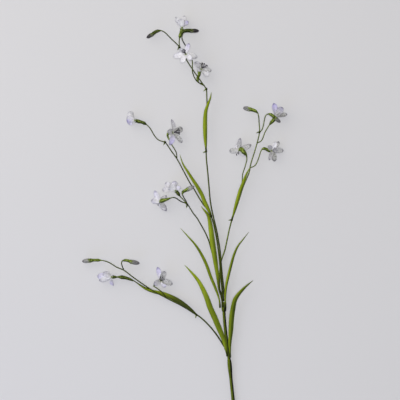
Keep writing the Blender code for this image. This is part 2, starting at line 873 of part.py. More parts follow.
def fused(pieces):
    """One solid from several that overlap."""
    first, *others = pieces
    if not others:
        return first
    gathered = bpy.data.collections.new("gathered")
    bpy.context.scene.collection.children.link(gathered)
    for other in others:
        gathered.objects.link(other)
    union = first.modifiers.new("union", "BOOLEAN")
    union.operation = "UNION"
    union.operand_type = "COLLECTION"
    union.collection = gathered
    union.solver = "EXACT"
    bpy.context.view_layer.update()
    evaluated = first.evaluated_get(bpy.context.evaluated_depsgraph_get())
    mesh = bpy.data.meshes.new_from_object(evaluated)
    for old in pieces:
        bpy.data.objects.remove(old, do_unlink=True)
    bpy.data.collections.remove(gathered)
    whole = bpy.data.objects.new("whole", mesh)
    bpy.context.scene.collection.objects.link(whole)
    return whole


def sub_part(name, finish, pieces, frame):
    """The named node made of these pieces."""
    made = fused(pieces)
    made.name = name
    made.data.name = name
    made.data.materials.clear()
    made.data.materials.append(finish_material(finish))
    made.data.shade_smooth()
    made.data.set_sharp_from_angle(angle=math.radians(40))
    made.parent = frame
    return made


def make_main_stem(frame):
    stem_length = len(MAIN_STEM)
    pieces = [tube(MAIN_STEM, (STEM_END_RADIUS, 2.8, STEM_TOP_RADIUS, STEM_TOP_RADIUS), 14.0, 8)]
    pieces.append(tube(COLLAR, (2.6, 3.0, COLLAR_RADIUS, COLLAR_RADIUS, 2.9), 4.0, 10))
    below = Vector(MAIN_STEM[stem_length - 3])
    along = (SLEEVE_END - below).normalized()
    sleeve = SLEEVE_END - along * SLEEVE_LENGTH, SLEEVE_END - along * 6, SLEEVE_END
    pieces.append(tube(sleeve, (3.2, SLEEVE_RADIUS, SLEEVE_RADIUS, SLEEVE_RADIUS), 4.0, 10))
    pieces.append(tube(STUB, (STUB_RADIUS, STUB_RADIUS), 4.0, 8))
    sub_part("main_stem", "stem", pieces, frame)


def make_flower(name, flower, frame):
    """Petals and stamens as nodes, and the green cup that its branch carries them in."""
    facing = Vector(flower.facing).normalized()
    centre = Vector(flower.centre)
    petals = [petal_blade(centre, facing, petal) for petal in flower.petals]
    sub_part(name + "_petals", "petal", [hub(centre, facing), *petals], frame)
    sub_part(name + "_stamens", "stamen", stamen_set(centre, facing, flower.petals), frame)
    seat = centre - facing * (HUB_DEPTH + GAP)
    return tube([*vectors(flower.cup), seat - facing * 4.0, seat], flower.girth, 3.8, 6)


def make_bud(name, bud, frame):
    """The closed petals as a node, and the green cup that its branch carries them in."""
    cup_end = Vector(bud.cup[-1])
    along = (cup_end - Vector(bud.cup[-2])).normalized()
    tip = Vector(bud.tip)
    seat = cup_end + along * GAP
    middle = seat.lerp(tip, 0.5) + along * 0.6
    radii = [bud.radius * share for share in (0.85, 1.0, 1.0, 0.95, 0.78, 0.3)]
    sub_part(name, "bud", [tube((seat, seat + along, middle, tip), radii, 2.6, 7)], frame)
    return tube(bud.cup, bud.girth, 3.6, 6)


def make_branch(name, branch, frame):
    pieces = [tube(branch.route, (BRANCH_RADIUS, STALK_RADIUS), ALONG_BRANCH, 6)]
    for node in branch.nodes:
        centre = Vector(node)
        near = min(range(len(branch.route)), key=lambda i: (Vector(branch.route[i]) - centre).length)
        after = Vector(branch.route[min(near + 1, len(branch.route) - 1)])
        along = (after - Vector(branch.route[max(near - 1, 0)])).normalized()
        ends = centre - along * 2.2, centre, centre + along * 2.2
        pieces.append(tube(ends, (0.9, 1.75, 1.75, 0.9), 1.5, 6))
    for bloom_name, bloom in branch.blooms.items():
        make = make_flower if isinstance(bloom, Flower) else make_bud
        pieces.append(make(name + "_" + bloom_name, bloom, frame))
        if bloom.stalk:
            pieces.append(tube(bloom.stalk, (STALK_RADIUS, STALK_RADIUS), ALONG_STALK, 5))
    sub_part(name + "_branch", "stem", pieces, frame)


def main():
    clear_scene()
    frame = bpy.data.objects.new("stem_frame", None)
    bpy.context.scene.collection.objects.link(frame)
    make_main_stem(frame)
    for name, branch in BRANCHES.items():
        make_branch(name, branch, frame)
    for name, leaf in LEAVES.items():
        sub_part(name, "leaf", [leaf_blade(leaf)], frame)
    frame.location = Vector((-MIDDLE_X, -MIDDLE_Y, 0)) * MM


main()
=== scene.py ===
"""The looks of a cut rain lily stem that lies on a pale surface, seen from straight above.

It has ridged leaves, slim stalks with bracts, ribbed green cups, closed buds, and open flowers with painted
petals and stamens."""

import math
from collections import namedtuple

import bmesh
import bpy
from mathutils import Matrix, Vector
from mathutils.geometry import interpolate_bezier


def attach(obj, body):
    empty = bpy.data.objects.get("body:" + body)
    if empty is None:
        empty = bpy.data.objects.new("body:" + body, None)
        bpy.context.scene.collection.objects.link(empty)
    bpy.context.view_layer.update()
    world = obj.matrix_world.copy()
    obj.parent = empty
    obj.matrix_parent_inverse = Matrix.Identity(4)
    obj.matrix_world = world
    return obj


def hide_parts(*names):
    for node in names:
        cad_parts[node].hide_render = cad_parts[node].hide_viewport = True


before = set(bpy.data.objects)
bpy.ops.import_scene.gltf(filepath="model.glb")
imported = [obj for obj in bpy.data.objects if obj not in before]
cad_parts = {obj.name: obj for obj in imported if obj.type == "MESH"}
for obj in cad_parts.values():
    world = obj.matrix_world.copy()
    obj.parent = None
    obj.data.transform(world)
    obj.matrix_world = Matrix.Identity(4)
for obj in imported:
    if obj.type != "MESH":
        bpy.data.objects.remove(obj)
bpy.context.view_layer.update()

MM = 0.001
UP = Vector((0, 0, 1))

# Where the photograph's middle lies in the stem's own frame, in millimetres
PLACE = Vector((24.8, 59.9, 0.0))

# The camera's height over the surface in metres, and its focal length and sensor width in millimetres
CAMERA_HEIGHT = 3.571
LENS = 200.0
SENSOR = 36.0

# Driving dimensions, in millimetres. Radii are evenly spaced from one end of a piece to the other.
STEM_RADII = (2.95, 2.8, 2.5, 2.5)
COLLAR_RADII = (2.6, 3.0, 3.5, 3.5, 2.9)
SLEEVE_RADII = (3.2, 4.0, 4.0, 4.0)
SLEEVE_LENGTH = 16.0
STUB_RADIUS = 1.9
BRANCH_RADIUS = 1.3
STALK_RADIUS = 0.8
KNOT_RADII = (0.9, 1.75, 1.75, 0.9)
KNOT_REACH = 2.2
GAP = 0.3
# The stem's sawn end: the width of its rim, and the width and depth of the step down to its core
CUT_RIM = 0.5
CUT_STEP = 0.15
CUT_DEPTH = 0.3

# A leaf: its thickness, its width at base and tip, its ridge and wave as shares of its width, and then how
# pointed its outline is
LEAF_SHEET = 0.5
LEAF_BASE = 3.2
LEAF_TIP = 0.5
LEAF_RIDGE = 0.15
LEAF_WAVE = 0.03
LEAF_SHARPNESS = 0.75

# A petal: its thickness, its width at throat and tip, and its hollow, wave and crease as shares of its width
PETAL_SHEET = 0.35
PETAL_CLAW = 2.0
PETAL_TIP = 0.6
PETAL_HOLLOW = 0.12
PETAL_WAVE = 0.06
PETAL_CREASE = 0.04
# It starts a little out of the throat, leaves it outwards and forwards, and arches forwards on its way out.
PETAL_ROOT = 0.5
PETAL_OUT = 3.0
PETAL_FORWARD = 2.2
PETAL_ARCH = 3.2
PETAL_ARCH_SHARE = 0.62
# How far it turns flat towards its tip, where it is widest, and how much more pointed a fully lilac one is
PETAL_ROLL = 0.8
PETAL_WIDEST = 0.6
LILAC_SHARPNESS = 0.25

# A bract: its thickness, its width at the tip, its arch, and then its hollow as a share of its width
BRACT_SHEET = 0.4
BRACT_TIP = 0.3
BRACT_ARCH = 0.6
BRACT_HOLLOW = 0.25
# Its width at a knot, and how far its tip stands out and back from the knot
KNOT_BRACT = 2.4
KNOT_BRACT_OUT = 5.6
KNOT_BRACT_BACK = 2.4

# A green cup: its radii where a flower gives none, its straight length below the petals, and the depth of its
# ribs as a share of its radius
CUP_GIRTH = (0.8, 2.7, 2.4, 3.1, 2.6)
CUP_NECK = 4.0
CUP_RIBS = 0.14

# The throat that the petals grow from, and the small seat that carries the stamens
HUB_RADII = (1.9, 1.9, 0.95)
HUB_DEPTH = 1.5
SEAT_RADII = (0.8, 0.9, 0.4)
SEAT_HEIGHT = 1.6

# Stamens lean out round the style, and every third has its full length. Each bends by a share of its lean.
STAMENS = 6
STAMEN_LENGTH = 9.5
STAMEN_SHARES = (0.86, 0.93, 1.0)
STAMEN_LEAN = math.radians(26)
STAMEN_BEND = 0.1
FILAMENT_RADII = (0.4, 0.4, 0.25)
ANTHER_RADII = (0.3, 0.75, 0.75, 0.75, 0.3)
ANTHER_LENGTH = 3.4
ANTHER_RIBS = 0.15
STYLE_LENGTH = 11.0
STYLE_RADII = (0.35, 0.25)
STYLE_LOBE = 1.5
STYLE_LOBE_RADII = (0.25, 0.3)

# A closed bud: shares of its own radius from cup to tip, its bend, its ribs, and how many turns they wind
BUD_SHARES = (0.85, 1.0, 1.0, 0.95, 0.78, 0.3)
BUD_BEND = 0.6
BUD_RIBS = 0.12
BUD_TURNS = 0.18

# How dark a branch's knots are and how deep the painted shade on its crowded root, and the share of its
# length over which that shade falls by one
KNOT_TONE_AND_ROOT_SHADE = 0.8
ROOT_SHADE_REACH = 0.25

# The direction that painted light comes from: up the stem, a little left and from above. Sides facing it are
# painted paler, and sides facing away get painted shade.
PAINTED_LIGHT_FROM = Vector((-0.5, 0.75, 0.45))

# Moulded plastic, polyester cloth and paper all refract light by about this much.
COMMON_IOR = 1.5
# Freckles lie this many millimetres apart, coarser than in the real print so that they show.
FRECKLE_SPACING = 1.8

# How finely curves and sheets are divided
CURVE_POINTS = 12
LEAF_ROWS = 44
LEAF_COLUMNS = 10
PETAL_ROWS = 12
PETAL_COLUMNS = 8
BRACT_ROWS = 5
BRACT_COLUMNS = 4
TRAITS = ("along", "across", "lilac", "freckle", "cup", "groove", "tone", "painted_light")

Leaf = namedtuple("Leaf", "route width widest twist dark", defaults=(0.08,))
Flower = namedtuple(
    "Flower",
    "cup centre facing sharpness anthers petals girth shade stalk",
    defaults=(CUP_GIRTH, 0.1, ()),
)
Bud = namedtuple("Bud", "cup tip girth radius tone stalk", defaults=((),))
Branch = namedtuple("Branch", "route nodes fresh", defaults=(0.0,))
# Three scales stand round a cup's end. Each starts back from it, out from its middle, and ends forward of it.
Scales = namedtuple("Scales", "turn back inner forward outer width")
FLOWER_SCALES = Scales(turn=0.1, back=2.5, inner=2.3, forward=1.2, outer=3.4, width=2.8)

# Every route is in millimetres from the photograph's middle: right, up the stem, and height over the surface.
# A petal is its tip measured from the flower's centre, its width, and how lilac and how freckled it is.
# A flower's anthers are dark at one, its cup darkens with its shade, and a bud and its cup with its tone.
# A leaf's base carries painted shade up to the share given. A branch is as green as its cups where fresh is
# one.
# A bloom is named for its branch, and one without a stalk stands at that branch's end.
MAIN_STEM = (
    (62.0, -415.0, 2.95), (58.2, -372.0, 3.1), (53.1, -320.0, 3.9), (50.0, -290.0, 5.0),
    (47.2, -260.0, 6.3), (43.6, -232.0, 7.6), (41.0, -210.0, 8.7), (39.0, -188.8, 9.9),
    (38.3, -176.0, 10.6), (38.1, -166.0, 11.0),
)
COLLAR = ((49.6, -286.0, 5.2), (48.5, -274.0, 5.7), (47.2, -260.0, 6.3), (46.5, -255.0, 6.5))
SLEEVE_END = Vector((38.1, -163.2, 11.0))
STUB = ((44.6, -246.0, 6.9), (42.2, -241.0, 7.1), (39.6, -236.4, 7.2))

BRANCHES = {
    "low": Branch(
        route=(
            (39.4, -236.1, 7.2), (31.0, -222.4, 7.4), (18.4, -205.6, 7.6), (1.6, -188.8, 8.2),
            (-14.4, -178.4, 8.8), (-32.0, -168.0, 9.4), (-48.0, -160.0, 10.0), (-64.8, -151.2, 10.7),
            (-80.0, -142.4, 11.4), (-96.0, -131.6, 12.2), (-108.8, -122.4, 13.0), (-122.4, -112.0, 13.6),
            (-132.8, -108.0, 14.0), (-144.0, -100.8, 14.5), (-152.0, -97.6, 14.5), (-158.4, -96.5, 14.0),
        ),
        nodes=((-5.6, -184.0, 8.5),),
    ),
    "left": Branch(
        route=(
            (37.5, -162.6, 13.2), (36.2, -150.0, 13.9), (34.6, -136.0, 14.3), (33.2, -120.0, 14.6),
            (31.5, -99.2, 15.0), (29.9, -84.8, 15.3), (27.7, -68.8, 15.7), (25.2, -54.4, 16.2),
            (22.6, -42.0, 16.7), (20.6, -33.6, 16.9), (16.8, -24.0, 16.6), (11.2, -14.4, 15.6),
            (4.8, -6.4, 14.6), (-3.2, 6.4, 13.6), (-9.6, 17.6, 13.6), (-16.0, 27.2, 13.9),
            (-27.2, 48.0, 14.5), (-37.6, 67.2, 15.0), (-44.8, 76.8, 15.0), (-56.0, 92.8, 15.0),
            (-60.8, 93.8, 15.0), (-67.2, 96.4, 15.0), (-73.6, 104.0, 15.0), (-78.4, 112.8, 14.8),
            (-82.4, 117.8, 14.4), (-86.4, 121.3, 14.0),
        ),
        nodes=((17.6, -25.6, 16.7), (-56.0, 92.8, 15.0)),
    ),
    "middle": Branch(
        route=(
            (35.6, -162.6, 10.6), (32.0, -145.0, 11.4), (28.2, -128.0, 12.2), (25.6, -112.0, 12.8),
            (22.2, -96.0, 13.2), (18.2, -80.0, 13.6), (13.6, -64.0, 14.0), (8.0, -51.2, 14.5),
            (0.8, -38.4, 15.0), (-4.8, -28.8, 15.4), (-11.2, -20.8, 15.8), (-16.0, -12.8, 16.2),
            (-21.6, -5.6, 16.8), (-30.4, -2.6, 18.0), (-36.8, 2.2, 20.4), (-42.4, 4.6, 22.6),
            (-48.0, 2.6, 24.0),
        ),
        nodes=((-20.4, -7.2, 16.6),),
    ),
    "top": Branch(
        route=(
            (40.4, -162.6, 11.2), (38.3, -145.0, 11.6), (36.3, -128.0, 11.9), (33.6, -99.2, 12.6),
            (31.9, -80.0, 13.0), (29.4, -64.0, 13.5), (26.4, -48.0, 14.0), (22.6, -32.0, 14.3),
            (18.9, -16.0, 14.8), (16.3, 0.0, 15.2), (14.4, 20.8, 15.7), (12.8, 40.0, 16.2),
            (10.4, 64.0, 16.7), (9.8, 77.6, 17.0), (10.4, 96.0, 17.2), (10.6, 136.0, 17.5),
            (11.2, 153.6, 17.6), (10.8, 166.0, 17.7), (10.2, 177.6, 17.8), (5.6, 184.0, 17.8),
            (0.0, 192.0, 17.8), (-10.7, 207.2, 17.5), (-21.6, 224.0, 17.0), (-33.4, 245.6, 16.2),
            (-43.2, 255.2, 16.4), (-51.2, 263.2, 16.8), (-56.8, 268.8, 16.8), (-63.2, 271.5, 16.4),
        ),
        nodes=((9.8, 77.6, 17.0), (10.2, 177.6, 17.8), (-33.0, 244.8, 16.2)),
    ),
    "right": Branch(
        route=(
            (38.3, -162.4, 8.5), (35.6, -153.0, 8.0), (31.7, -144.0, 7.6), (31.2, -128.0, 7.5),
            (32.0, -112.0, 7.7), (33.6, -99.2, 8.0), (36.4, -90.4, 8.4), (40.0, -80.0, 9.0),
            (43.4, -64.0, 9.8), (47.2, -46.4, 10.6), (51.0, -32.0, 11.2), (57.6, -14.4, 12.0),
            (62.4, 0.0, 12.6), (69.6, 22.4, 13.4), (74.6, 34.0, 14.0), (79.0, 44.8, 14.4),
            (80.8, 56.0, 14.9), (87.2, 76.8, 15.7), (91.4, 91.2, 16.2), (95.4, 109.6, 17.0),
            (94.6, 123.2, 18.0), (93.8, 134.4, 18.6), (92.2, 139.8, 18.6),
        ),
        nodes=((51.0, -32.0, 11.2), (95.3, 108.8, 17.0)),
        fresh=0.55,
    ),
}

BLOOMS = {
    "low_bud_1": Bud(
        cup=((-157.0, -96.6, 14.1), (-167.0, -96.3, 13.3), (-176.0, -96.8, 12.0)),
        tip=(-188.8, -98.6, 9.8),
        girth=(0.8, 2.8, 2.3, 3.6),
        radius=3.8,
        tone=0.15,
    ),
    "low_bud_2": Bud(
        stalk=((-121.6, -112.5, 13.5), (-125.3, -104.0, 14.8), (-125.4, -98.6, 15.6), (-123.2, -96.6, 15.8)),
        cup=((-124.6, -97.4, 15.7), (-118.6, -96.4, 16.0), (-111.2, -98.4, 16.0)),
        tip=(-96.8, -101.6, 15.0),
        girth=(0.8, 2.4, 2.5, 2.8),
        radius=3.8,
        tone=0.5,
    ),
    "low_flower_1": Flower(
        stalk=(
            (-80.0, -142.4, 11.4), (-86.0, -141.2, 10.2), (-92.8, -137.6, 9.6), (-100.8, -132.8, 9.6),
            (-107.2, -128.8, 9.8),
        ),
        cup=((-105.6, -129.8, 9.8), (-118.0, -125.0, 10.6), (-128.0, -123.4, 11.4)),
        centre=(-141.6, -123.4, 12.6),
        facing=(-1.0, 0.0, 0.1),
        sharpness=0.45,
        anthers=0.35,
        petals=(
            (-22.6, 1.8, 7.0, 12.0, 0.5, 0.05),
            (-20.4, -5.6, -5.0, 8.0, 0.2, 0.5),
            (-9.0, 8.6, -12.3, 8.0, 0.2, 0.0),
            (3.0, -14.0, -8.0, 6.5, 0.6, 0.1),
            (-18.0, -6.0, 7.0, 9.0, 0.05, 0.25),
            (-13.0, 7.5, 7.0, 9.0, 0.2, 0.3),
        ),
        girth=(0.8, 1.8, 2.4, 2.6, 2.8, 3.2, 3.6, 2.2, 1.1, 2.8, 2.0),
        shade=0.65,
    ),
    "low_flower_2": Flower(
        stalk=((-54.4, -156.8, 10.8), (-59.2, -149.0, 12.2), (-68.0, -142.0, 12.4), (-75.4, -137.4, 11.2)),
        cup=((-74.2, -138.0, 11.0), (-71.0, -134.6, 8.8), (-67.0, -132.0, 8.4)),
        centre=(-62.7, -129.0, 16.5),
        facing=(0.15, 0.25, 0.95),
        sharpness=0.36,
        anthers=1,
        petals=(
            (-5.5, 21.9, 0.0, 8.0, 0.7, 0.15),
            (6.7, 15.3, 8.0, 9.0, 0.0, 0.8),
            (18.9, -5.8, 2.0, 9.0, 0.0, 0.8),
            (-10.8, -6.8, 8.0, 9.0, 0.25, 0.65),
            (7.0, -11.0, -2.0, 8.0, 0.3, 0.0),
            (12.0, -2.0, -9.0, 7.0, 0.1, 0.2),
        ),
    ),
    "left_flower_1": Flower(
        cup=((-85.2, 120.4, 14.1), (-92.0, 124.2, 13.5)),
        centre=(-104.4, 127.6, 12.6),
        facing=(-0.95, 0.28, 0.1),
        sharpness=0.45,
        anthers=0.15,
        petals=(
            (-7.8, 14.4, 4.0, 11.5, 0.0, 0.3),
            (-12.6, 3.4, 8.0, 10.0, 0.2, 0.15),
            (-12.8, -1.6, 8.0, 10.0, 0.9, 0.1),
            (-8.6, -7.6, 1.0, 10.0, 0.4, 0.2),
            (-10.0, -3.0, -12.4, 8.0, 0.2, 0.0),
            (-5.0, 8.0, -10.4, 8.0, 0.0, 0.0),
        ),
        girth=(0.9, 3.0, 2.6, 3.4, 3.0),
        shade=0.6,
    ),
    "left_flower_2": Flower(
        stalk=(
            (-37.0, 66.0, 15.0), (-37.7, 75.0, 16.6), (-40.8, 81.6, 16.6), (-44.8, 87.6, 15.6),
            (-49.0, 96.0, 13.4),
        ),
        cup=((-48.2, 94.4, 13.8), (-51.4, 101.2, 13.2), (-51.8, 105.4, 13.6)),
        centre=(-44.0, 108.0, 17.0),
        facing=(0.9, 0.12, 0.42),
        sharpness=0.5,
        anthers=1,
        petals=(
            (-1.8, 21.0, 2.0, 6.0, 0.1, 0.6),
            (16.0, 7.2, -9.0, 10.0, 0.0, 0.85),
            (15.0, -16.4, -4.0, 7.5, 0.0, 0.75),
            (-4.6, -20.6, 4.0, 9.0, 0.8, 0.35),
            (-8.5, 0.6, 14.0, 10.0, 0.05, 0.55),
            (0.6, 17.0, -3.0, 6.5, 0.1, 0.3),
        ),
        girth=(0.8, 1.4, 1.8, 2.4, 2.4),
    ),
    "middle_flower_1": Flower(
        cup=((-46.6, 3.4, 23.8), (-53.6, 0.8, 25.6)),
        centre=(-63.0, -2.4, 18.0),
        facing=(-0.38, -0.22, -0.9),
        sharpness=0.5,
        anthers=0.5,
        petals=(
            (-9.6, 17.6, -2.0, 8.5, 0.35, 0.1),
            (-15.0, 1.8, 1.0, 9.0, 0.2, 0.35),
            (3.0, -11.0, -9.0, 8.0, 0.1, 0.3),
            (9.4, -15.0, -3.0, 9.0, 0.15, 0.75),
            (9.8, 9.6, -7.0, 7.5, 0.1, 0.6),
            (-12.0, 6.0, -9.0, 7.0, 0.1, 0.0),
        ),
        girth=(0.8, 2.2, 2.8, 4.0, 3.4),
    ),
    "middle_flower_2": Flower(
        stalk=((-20.8, -6.6, 16.7), (-26.4, 0.4, 15.6), (-31.6, 5.0, 13.6)),
        cup=((-30.4, 4.0, 14.1), (-33.4, 7.8, 13.8)),
        centre=(-39.2, 15.2, 15.0),
        facing=(-0.65, 0.74, 0.12),
        sharpness=0.5,
        anthers=0.2,
        petals=(
            (-16.8, 12.0, -5.0, 11.0, 0.1, 0.3),
            (-0.6, 15.0, 4.0, 11.0, 0.25, 0.3),
            (-21.6, 0.4, 2.0, 10.0, 0.1, 0.3),
            (8.8, 3.8, 6.0, 7.0, 0.3, 0.1),
            (-9.0, 6.0, 12.0, 12.0, 0.0, 0.0),
            (0.0, 7.0, -12.0, 8.0, 0.1, 0.0),
        ),
        girth=(0.8, 1.0, 2.9, 3.2, 2.2),
        shade=0.8,
    ),
    "middle_bud": Bud(
        stalk=((-19.6, -8.2, 16.5), (-22.4, -1.6, 18.6), (-26.4, 5.0, 20.0), (-28.6, 9.6, 20.6)),
        cup=((-28.2, 8.4, 20.5), (-27.4, 12.6, 20.9), (-20.6, 16.6, 21.0)),
        tip=(-9.4, 21.8, 21.2),
        girth=(0.8, 2.4, 2.8, 3.0),
        radius=3.6,
        tone=0,
    ),
    "top_bud_1": Bud(
        cup=((-62.0, 271.2, 16.5), (-69.0, 270.0, 15.8), (-76.0, 265.6, 14.4)),
        tip=(-85.4, 259.6, 12.0),
        girth=(0.8, 2.7, 3.1, 3.2),
        radius=3.3,
        tone=0.9,
    ),
    "top_bud_2": Bud(
        stalk=(
            (-22.4, 225.6, 17.0), (-21.4, 236.0, 18.4), (-23.0, 246.0, 20.4), (-28.0, 255.2, 22.8),
            (-29.4, 261.4, 23.2),
        ),
        cup=((-29.2, 260.0, 23.1), (-27.8, 268.2, 23.3), (-22.0, 270.4, 23.0), (-14.6, 270.4, 22.4)),
        tip=(-1.6, 270.1, 21.0),
        girth=(0.8, 3.0, 3.3, 3.4),
        radius=3.4,
        tone=1,
    ),
    "top_flower_1": Flower(
        stalk=((-32.6, 244.2, 16.2), (-33.3, 252.8, 14.8), (-32.8, 259.4, 14.0)),
        cup=((-32.9, 258.0, 14.1), (-31.6, 265.0, 13.8)),
        centre=(-28.8, 276.0, 13.6),
        facing=(0.12, 0.98, 0.1),
        sharpness=0.55,
        anthers=0.15,
        petals=(
            (-10.7, 16.6, 3.0, 9.5, 0.0, 0.35),
            (4.3, 19.4, -5.0, 9.0, 0.05, 0.3),
            (10.5, 9.4, 1.0, 8.0, 0.7, 0.4),
            (-8.0, 9.0, -10.0, 8.0, 0.0, 0.0),
            (-3.0, 13.0, 9.0, 10.5, 0.0, 0.25),
            (4.0, 11.0, -13.4, 8.0, 0.1, 0.0),
        ),
    ),
    "top_flower_2": Flower(
        stalk=(
            (4.6, 185.4, 17.8), (-4.0, 188.8, 19.4), (-9.4, 196.8, 20.4), (-12.0, 204.8, 21.0),
            (-12.2, 214.4, 21.2), (-12.0, 221.6, 20.8), (-14.4, 225.4, 20.0),
        ),
        cup=((-13.8, 224.6, 20.2), (-18.0, 227.6, 19.6)),
        centre=(-22.4, 232.2, 26.0),
        facing=(-0.3, 0.45, 0.84),
        sharpness=0.48,
        anthers=1,
        petals=(
            (5.2, 17.8, -2.0, 7.5, 0.55, 0.05),
            (17.8, -4.8, -1.0, 9.0, 0.0, 0.4),
            (-20.0, -4.2, 1.0, 10.5, 0.05, 0.1),
            (-7.0, -14.2, 4.0, 9.0, 0.0, 0.05),
            (-10.0, 9.0, 10.0, 6.5, 0.1, 0.1),
            (9.0, -9.6, 6.0, 8.0, 0.05, 0.1),
        ),
    ),
    "top_flower_3": Flower(
        stalk=((6.4, 183.2, 17.8), (0.4, 186.0, 16.2), (-3.6, 190.2, 14.6)),
        cup=((-2.8, 188.8, 15.0), (-3.6, 195.0, 13.4), (-1.2, 201.0, 12.6)),
        centre=(1.6, 208.8, 17.0),
        facing=(0.45, 0.6, 0.66),
        sharpness=0.5,
        anthers=1,
        petals=(
            (-10.4, 11.2, 5.0, 8.5, 0.1, 0.6),
            (0.4, 11.4, -10.0, 7.5, 0.0, 0.9),
            (16.6, -2.6, 2.0, 8.0, 0.0, 0.7),
            (11.4, -12.2, 4.0, 9.0, 0.0, 0.25),
            (11.0, 6.0, -12.0, 8.0, 0.0, 0.3),
            (-5.6, -3.4, 13.0, 8.0, 0.0, 0.2),
        ),
    ),
    "right_bud_2": Bud(
        cup=((92.8, 138.6, 18.6), (88.0, 142.6, 18.2), (79.0, 145.4, 17.6)),
        tip=(69.2, 147.4, 16.4),
        girth=(0.8, 2.6, 3.0, 3.7),
        radius=3.7,
        tone=0.3,
    ),
    "right_bud_1": Bud(
        stalk=(
            (95.2, 108.0, 17.0), (99.2, 112.4, 18.6), (101.6, 120.8, 20.8), (103.4, 130.4, 22.8),
            (105.6, 135.8, 23.8), (109.6, 138.0, 24.2),
        ),
        cup=((108.2, 137.6, 24.1), (113.6, 136.2, 24.4), (119.6, 131.2, 24.0)),
        tip=(128.4, 124.0, 22.4),
        girth=(0.8, 2.7, 2.9, 3.0),
        radius=3.1,
        tone=0.6,
    ),
    "right_flower_1": Flower(
        stalk=(
            (91.4, 91.2, 16.2), (97.9, 94.4, 15.6), (101.3, 101.0, 14.6), (104.4, 109.1, 13.8),
            (111.6, 121.0, 13.1),
        ),
        cup=((110.8, 119.8, 13.1), (114.6, 124.6, 13.0)),
        centre=(120.8, 132.6, 13.0),
        facing=(0.55, 0.8, 0.15),
        sharpness=0.42,
        anthers=0.15,
        petals=(
            (-3.0, 22.6, 1.0, 10.0, 1.0, 0.1),
            (10.8, 15.6, 10.0, 10.5, 0.35, 0.7),
            (18.8, 4.0, 2.0, 7.5, 0.0, 0.95),
            (9.0, 6.0, -10.5, 7.5, 0.1, 0.4),
            (0.0, 14.0, -10.0, 8.0, 0.3, 0.1),
            (8.0, 3.0, 10.5, 7.5, 0.0, 0.8),
        ),
        girth=(0.8, 2.4, 3.2, 3.4, 2.8),
    ),
    "right_flower_2": Flower(
        stalk=(
            (67.4, 15.6, 13.2), (67.6, 24.8, 14.0), (67.6, 33.0, 15.0), (68.3, 41.6, 16.6),
            (71.0, 50.1, 18.2), (73.3, 57.6, 19.6), (75.2, 65.4, 20.8),
        ),
        cup=((75.0, 64.0, 20.6), (74.0, 71.6, 22.2), (69.4, 77.0, 23.2)),
        centre=(63.2, 80.0, 15.5),
        facing=(-0.42, -0.32, -0.85),
        sharpness=0.45,
        anthers=1,
        petals=(
            (1.4, 19.2, -4.0, 8.0, 0.1, 0.75),
            (19.2, 8.6, -6.0, 9.0, 0.0, 0.7),
            (-16.0, -1.2, 3.0, 9.0, 0.0, 0.6),
            (8.5, -9.0, -7.0, 7.5, 0.1, 0.3),
            (-4.5, 9.5, -11.0, 8.0, 0.1, 0.0),
            (7.0, 1.0, -13.0, 7.5, 0.1, 0.1),
        ),
        girth=(0.8, 1.2, 3.6, 4.1, 2.4),
    ),
    "right_flower_3": Flower(
        stalk=(
            (80.4, 52.0, 14.8), (84.6, 53.0, 14.4), (88.6, 55.8, 13.8), (91.6, 61.0, 13.0),
            (94.9, 69.8, 12.0), (96.9, 76.4, 11.0), (99.2, 81.4, 9.8),
        ),
        cup=((98.6, 80.4, 10.0), (102.6, 82.6, 8.2), (107.6, 80.8, 7.0)),
        centre=(114.4, 79.2, 11.6),
        facing=(0.55, 0.0, 0.83),
        sharpness=0.48,
        anthers=0.25,
        petals=(
            (-5.6, 7.4, 12.0, 8.0, 0.1, 0.5),
            (6.6, 14.0, 5.0, 8.0, 0.0, 0.1),
            (12.3, 14.7, -4.0, 7.5, 0.0, 0.75),
            (19.6, 0.4, -6.0, 9.0, 0.0, 0.7),
            (5.0, -17.6, 1.0, 9.5, 0.0, 1.0),
            (-4.0, -15.6, 7.0, 6.5, 0.1, 0.8),
        ),
    ),
}

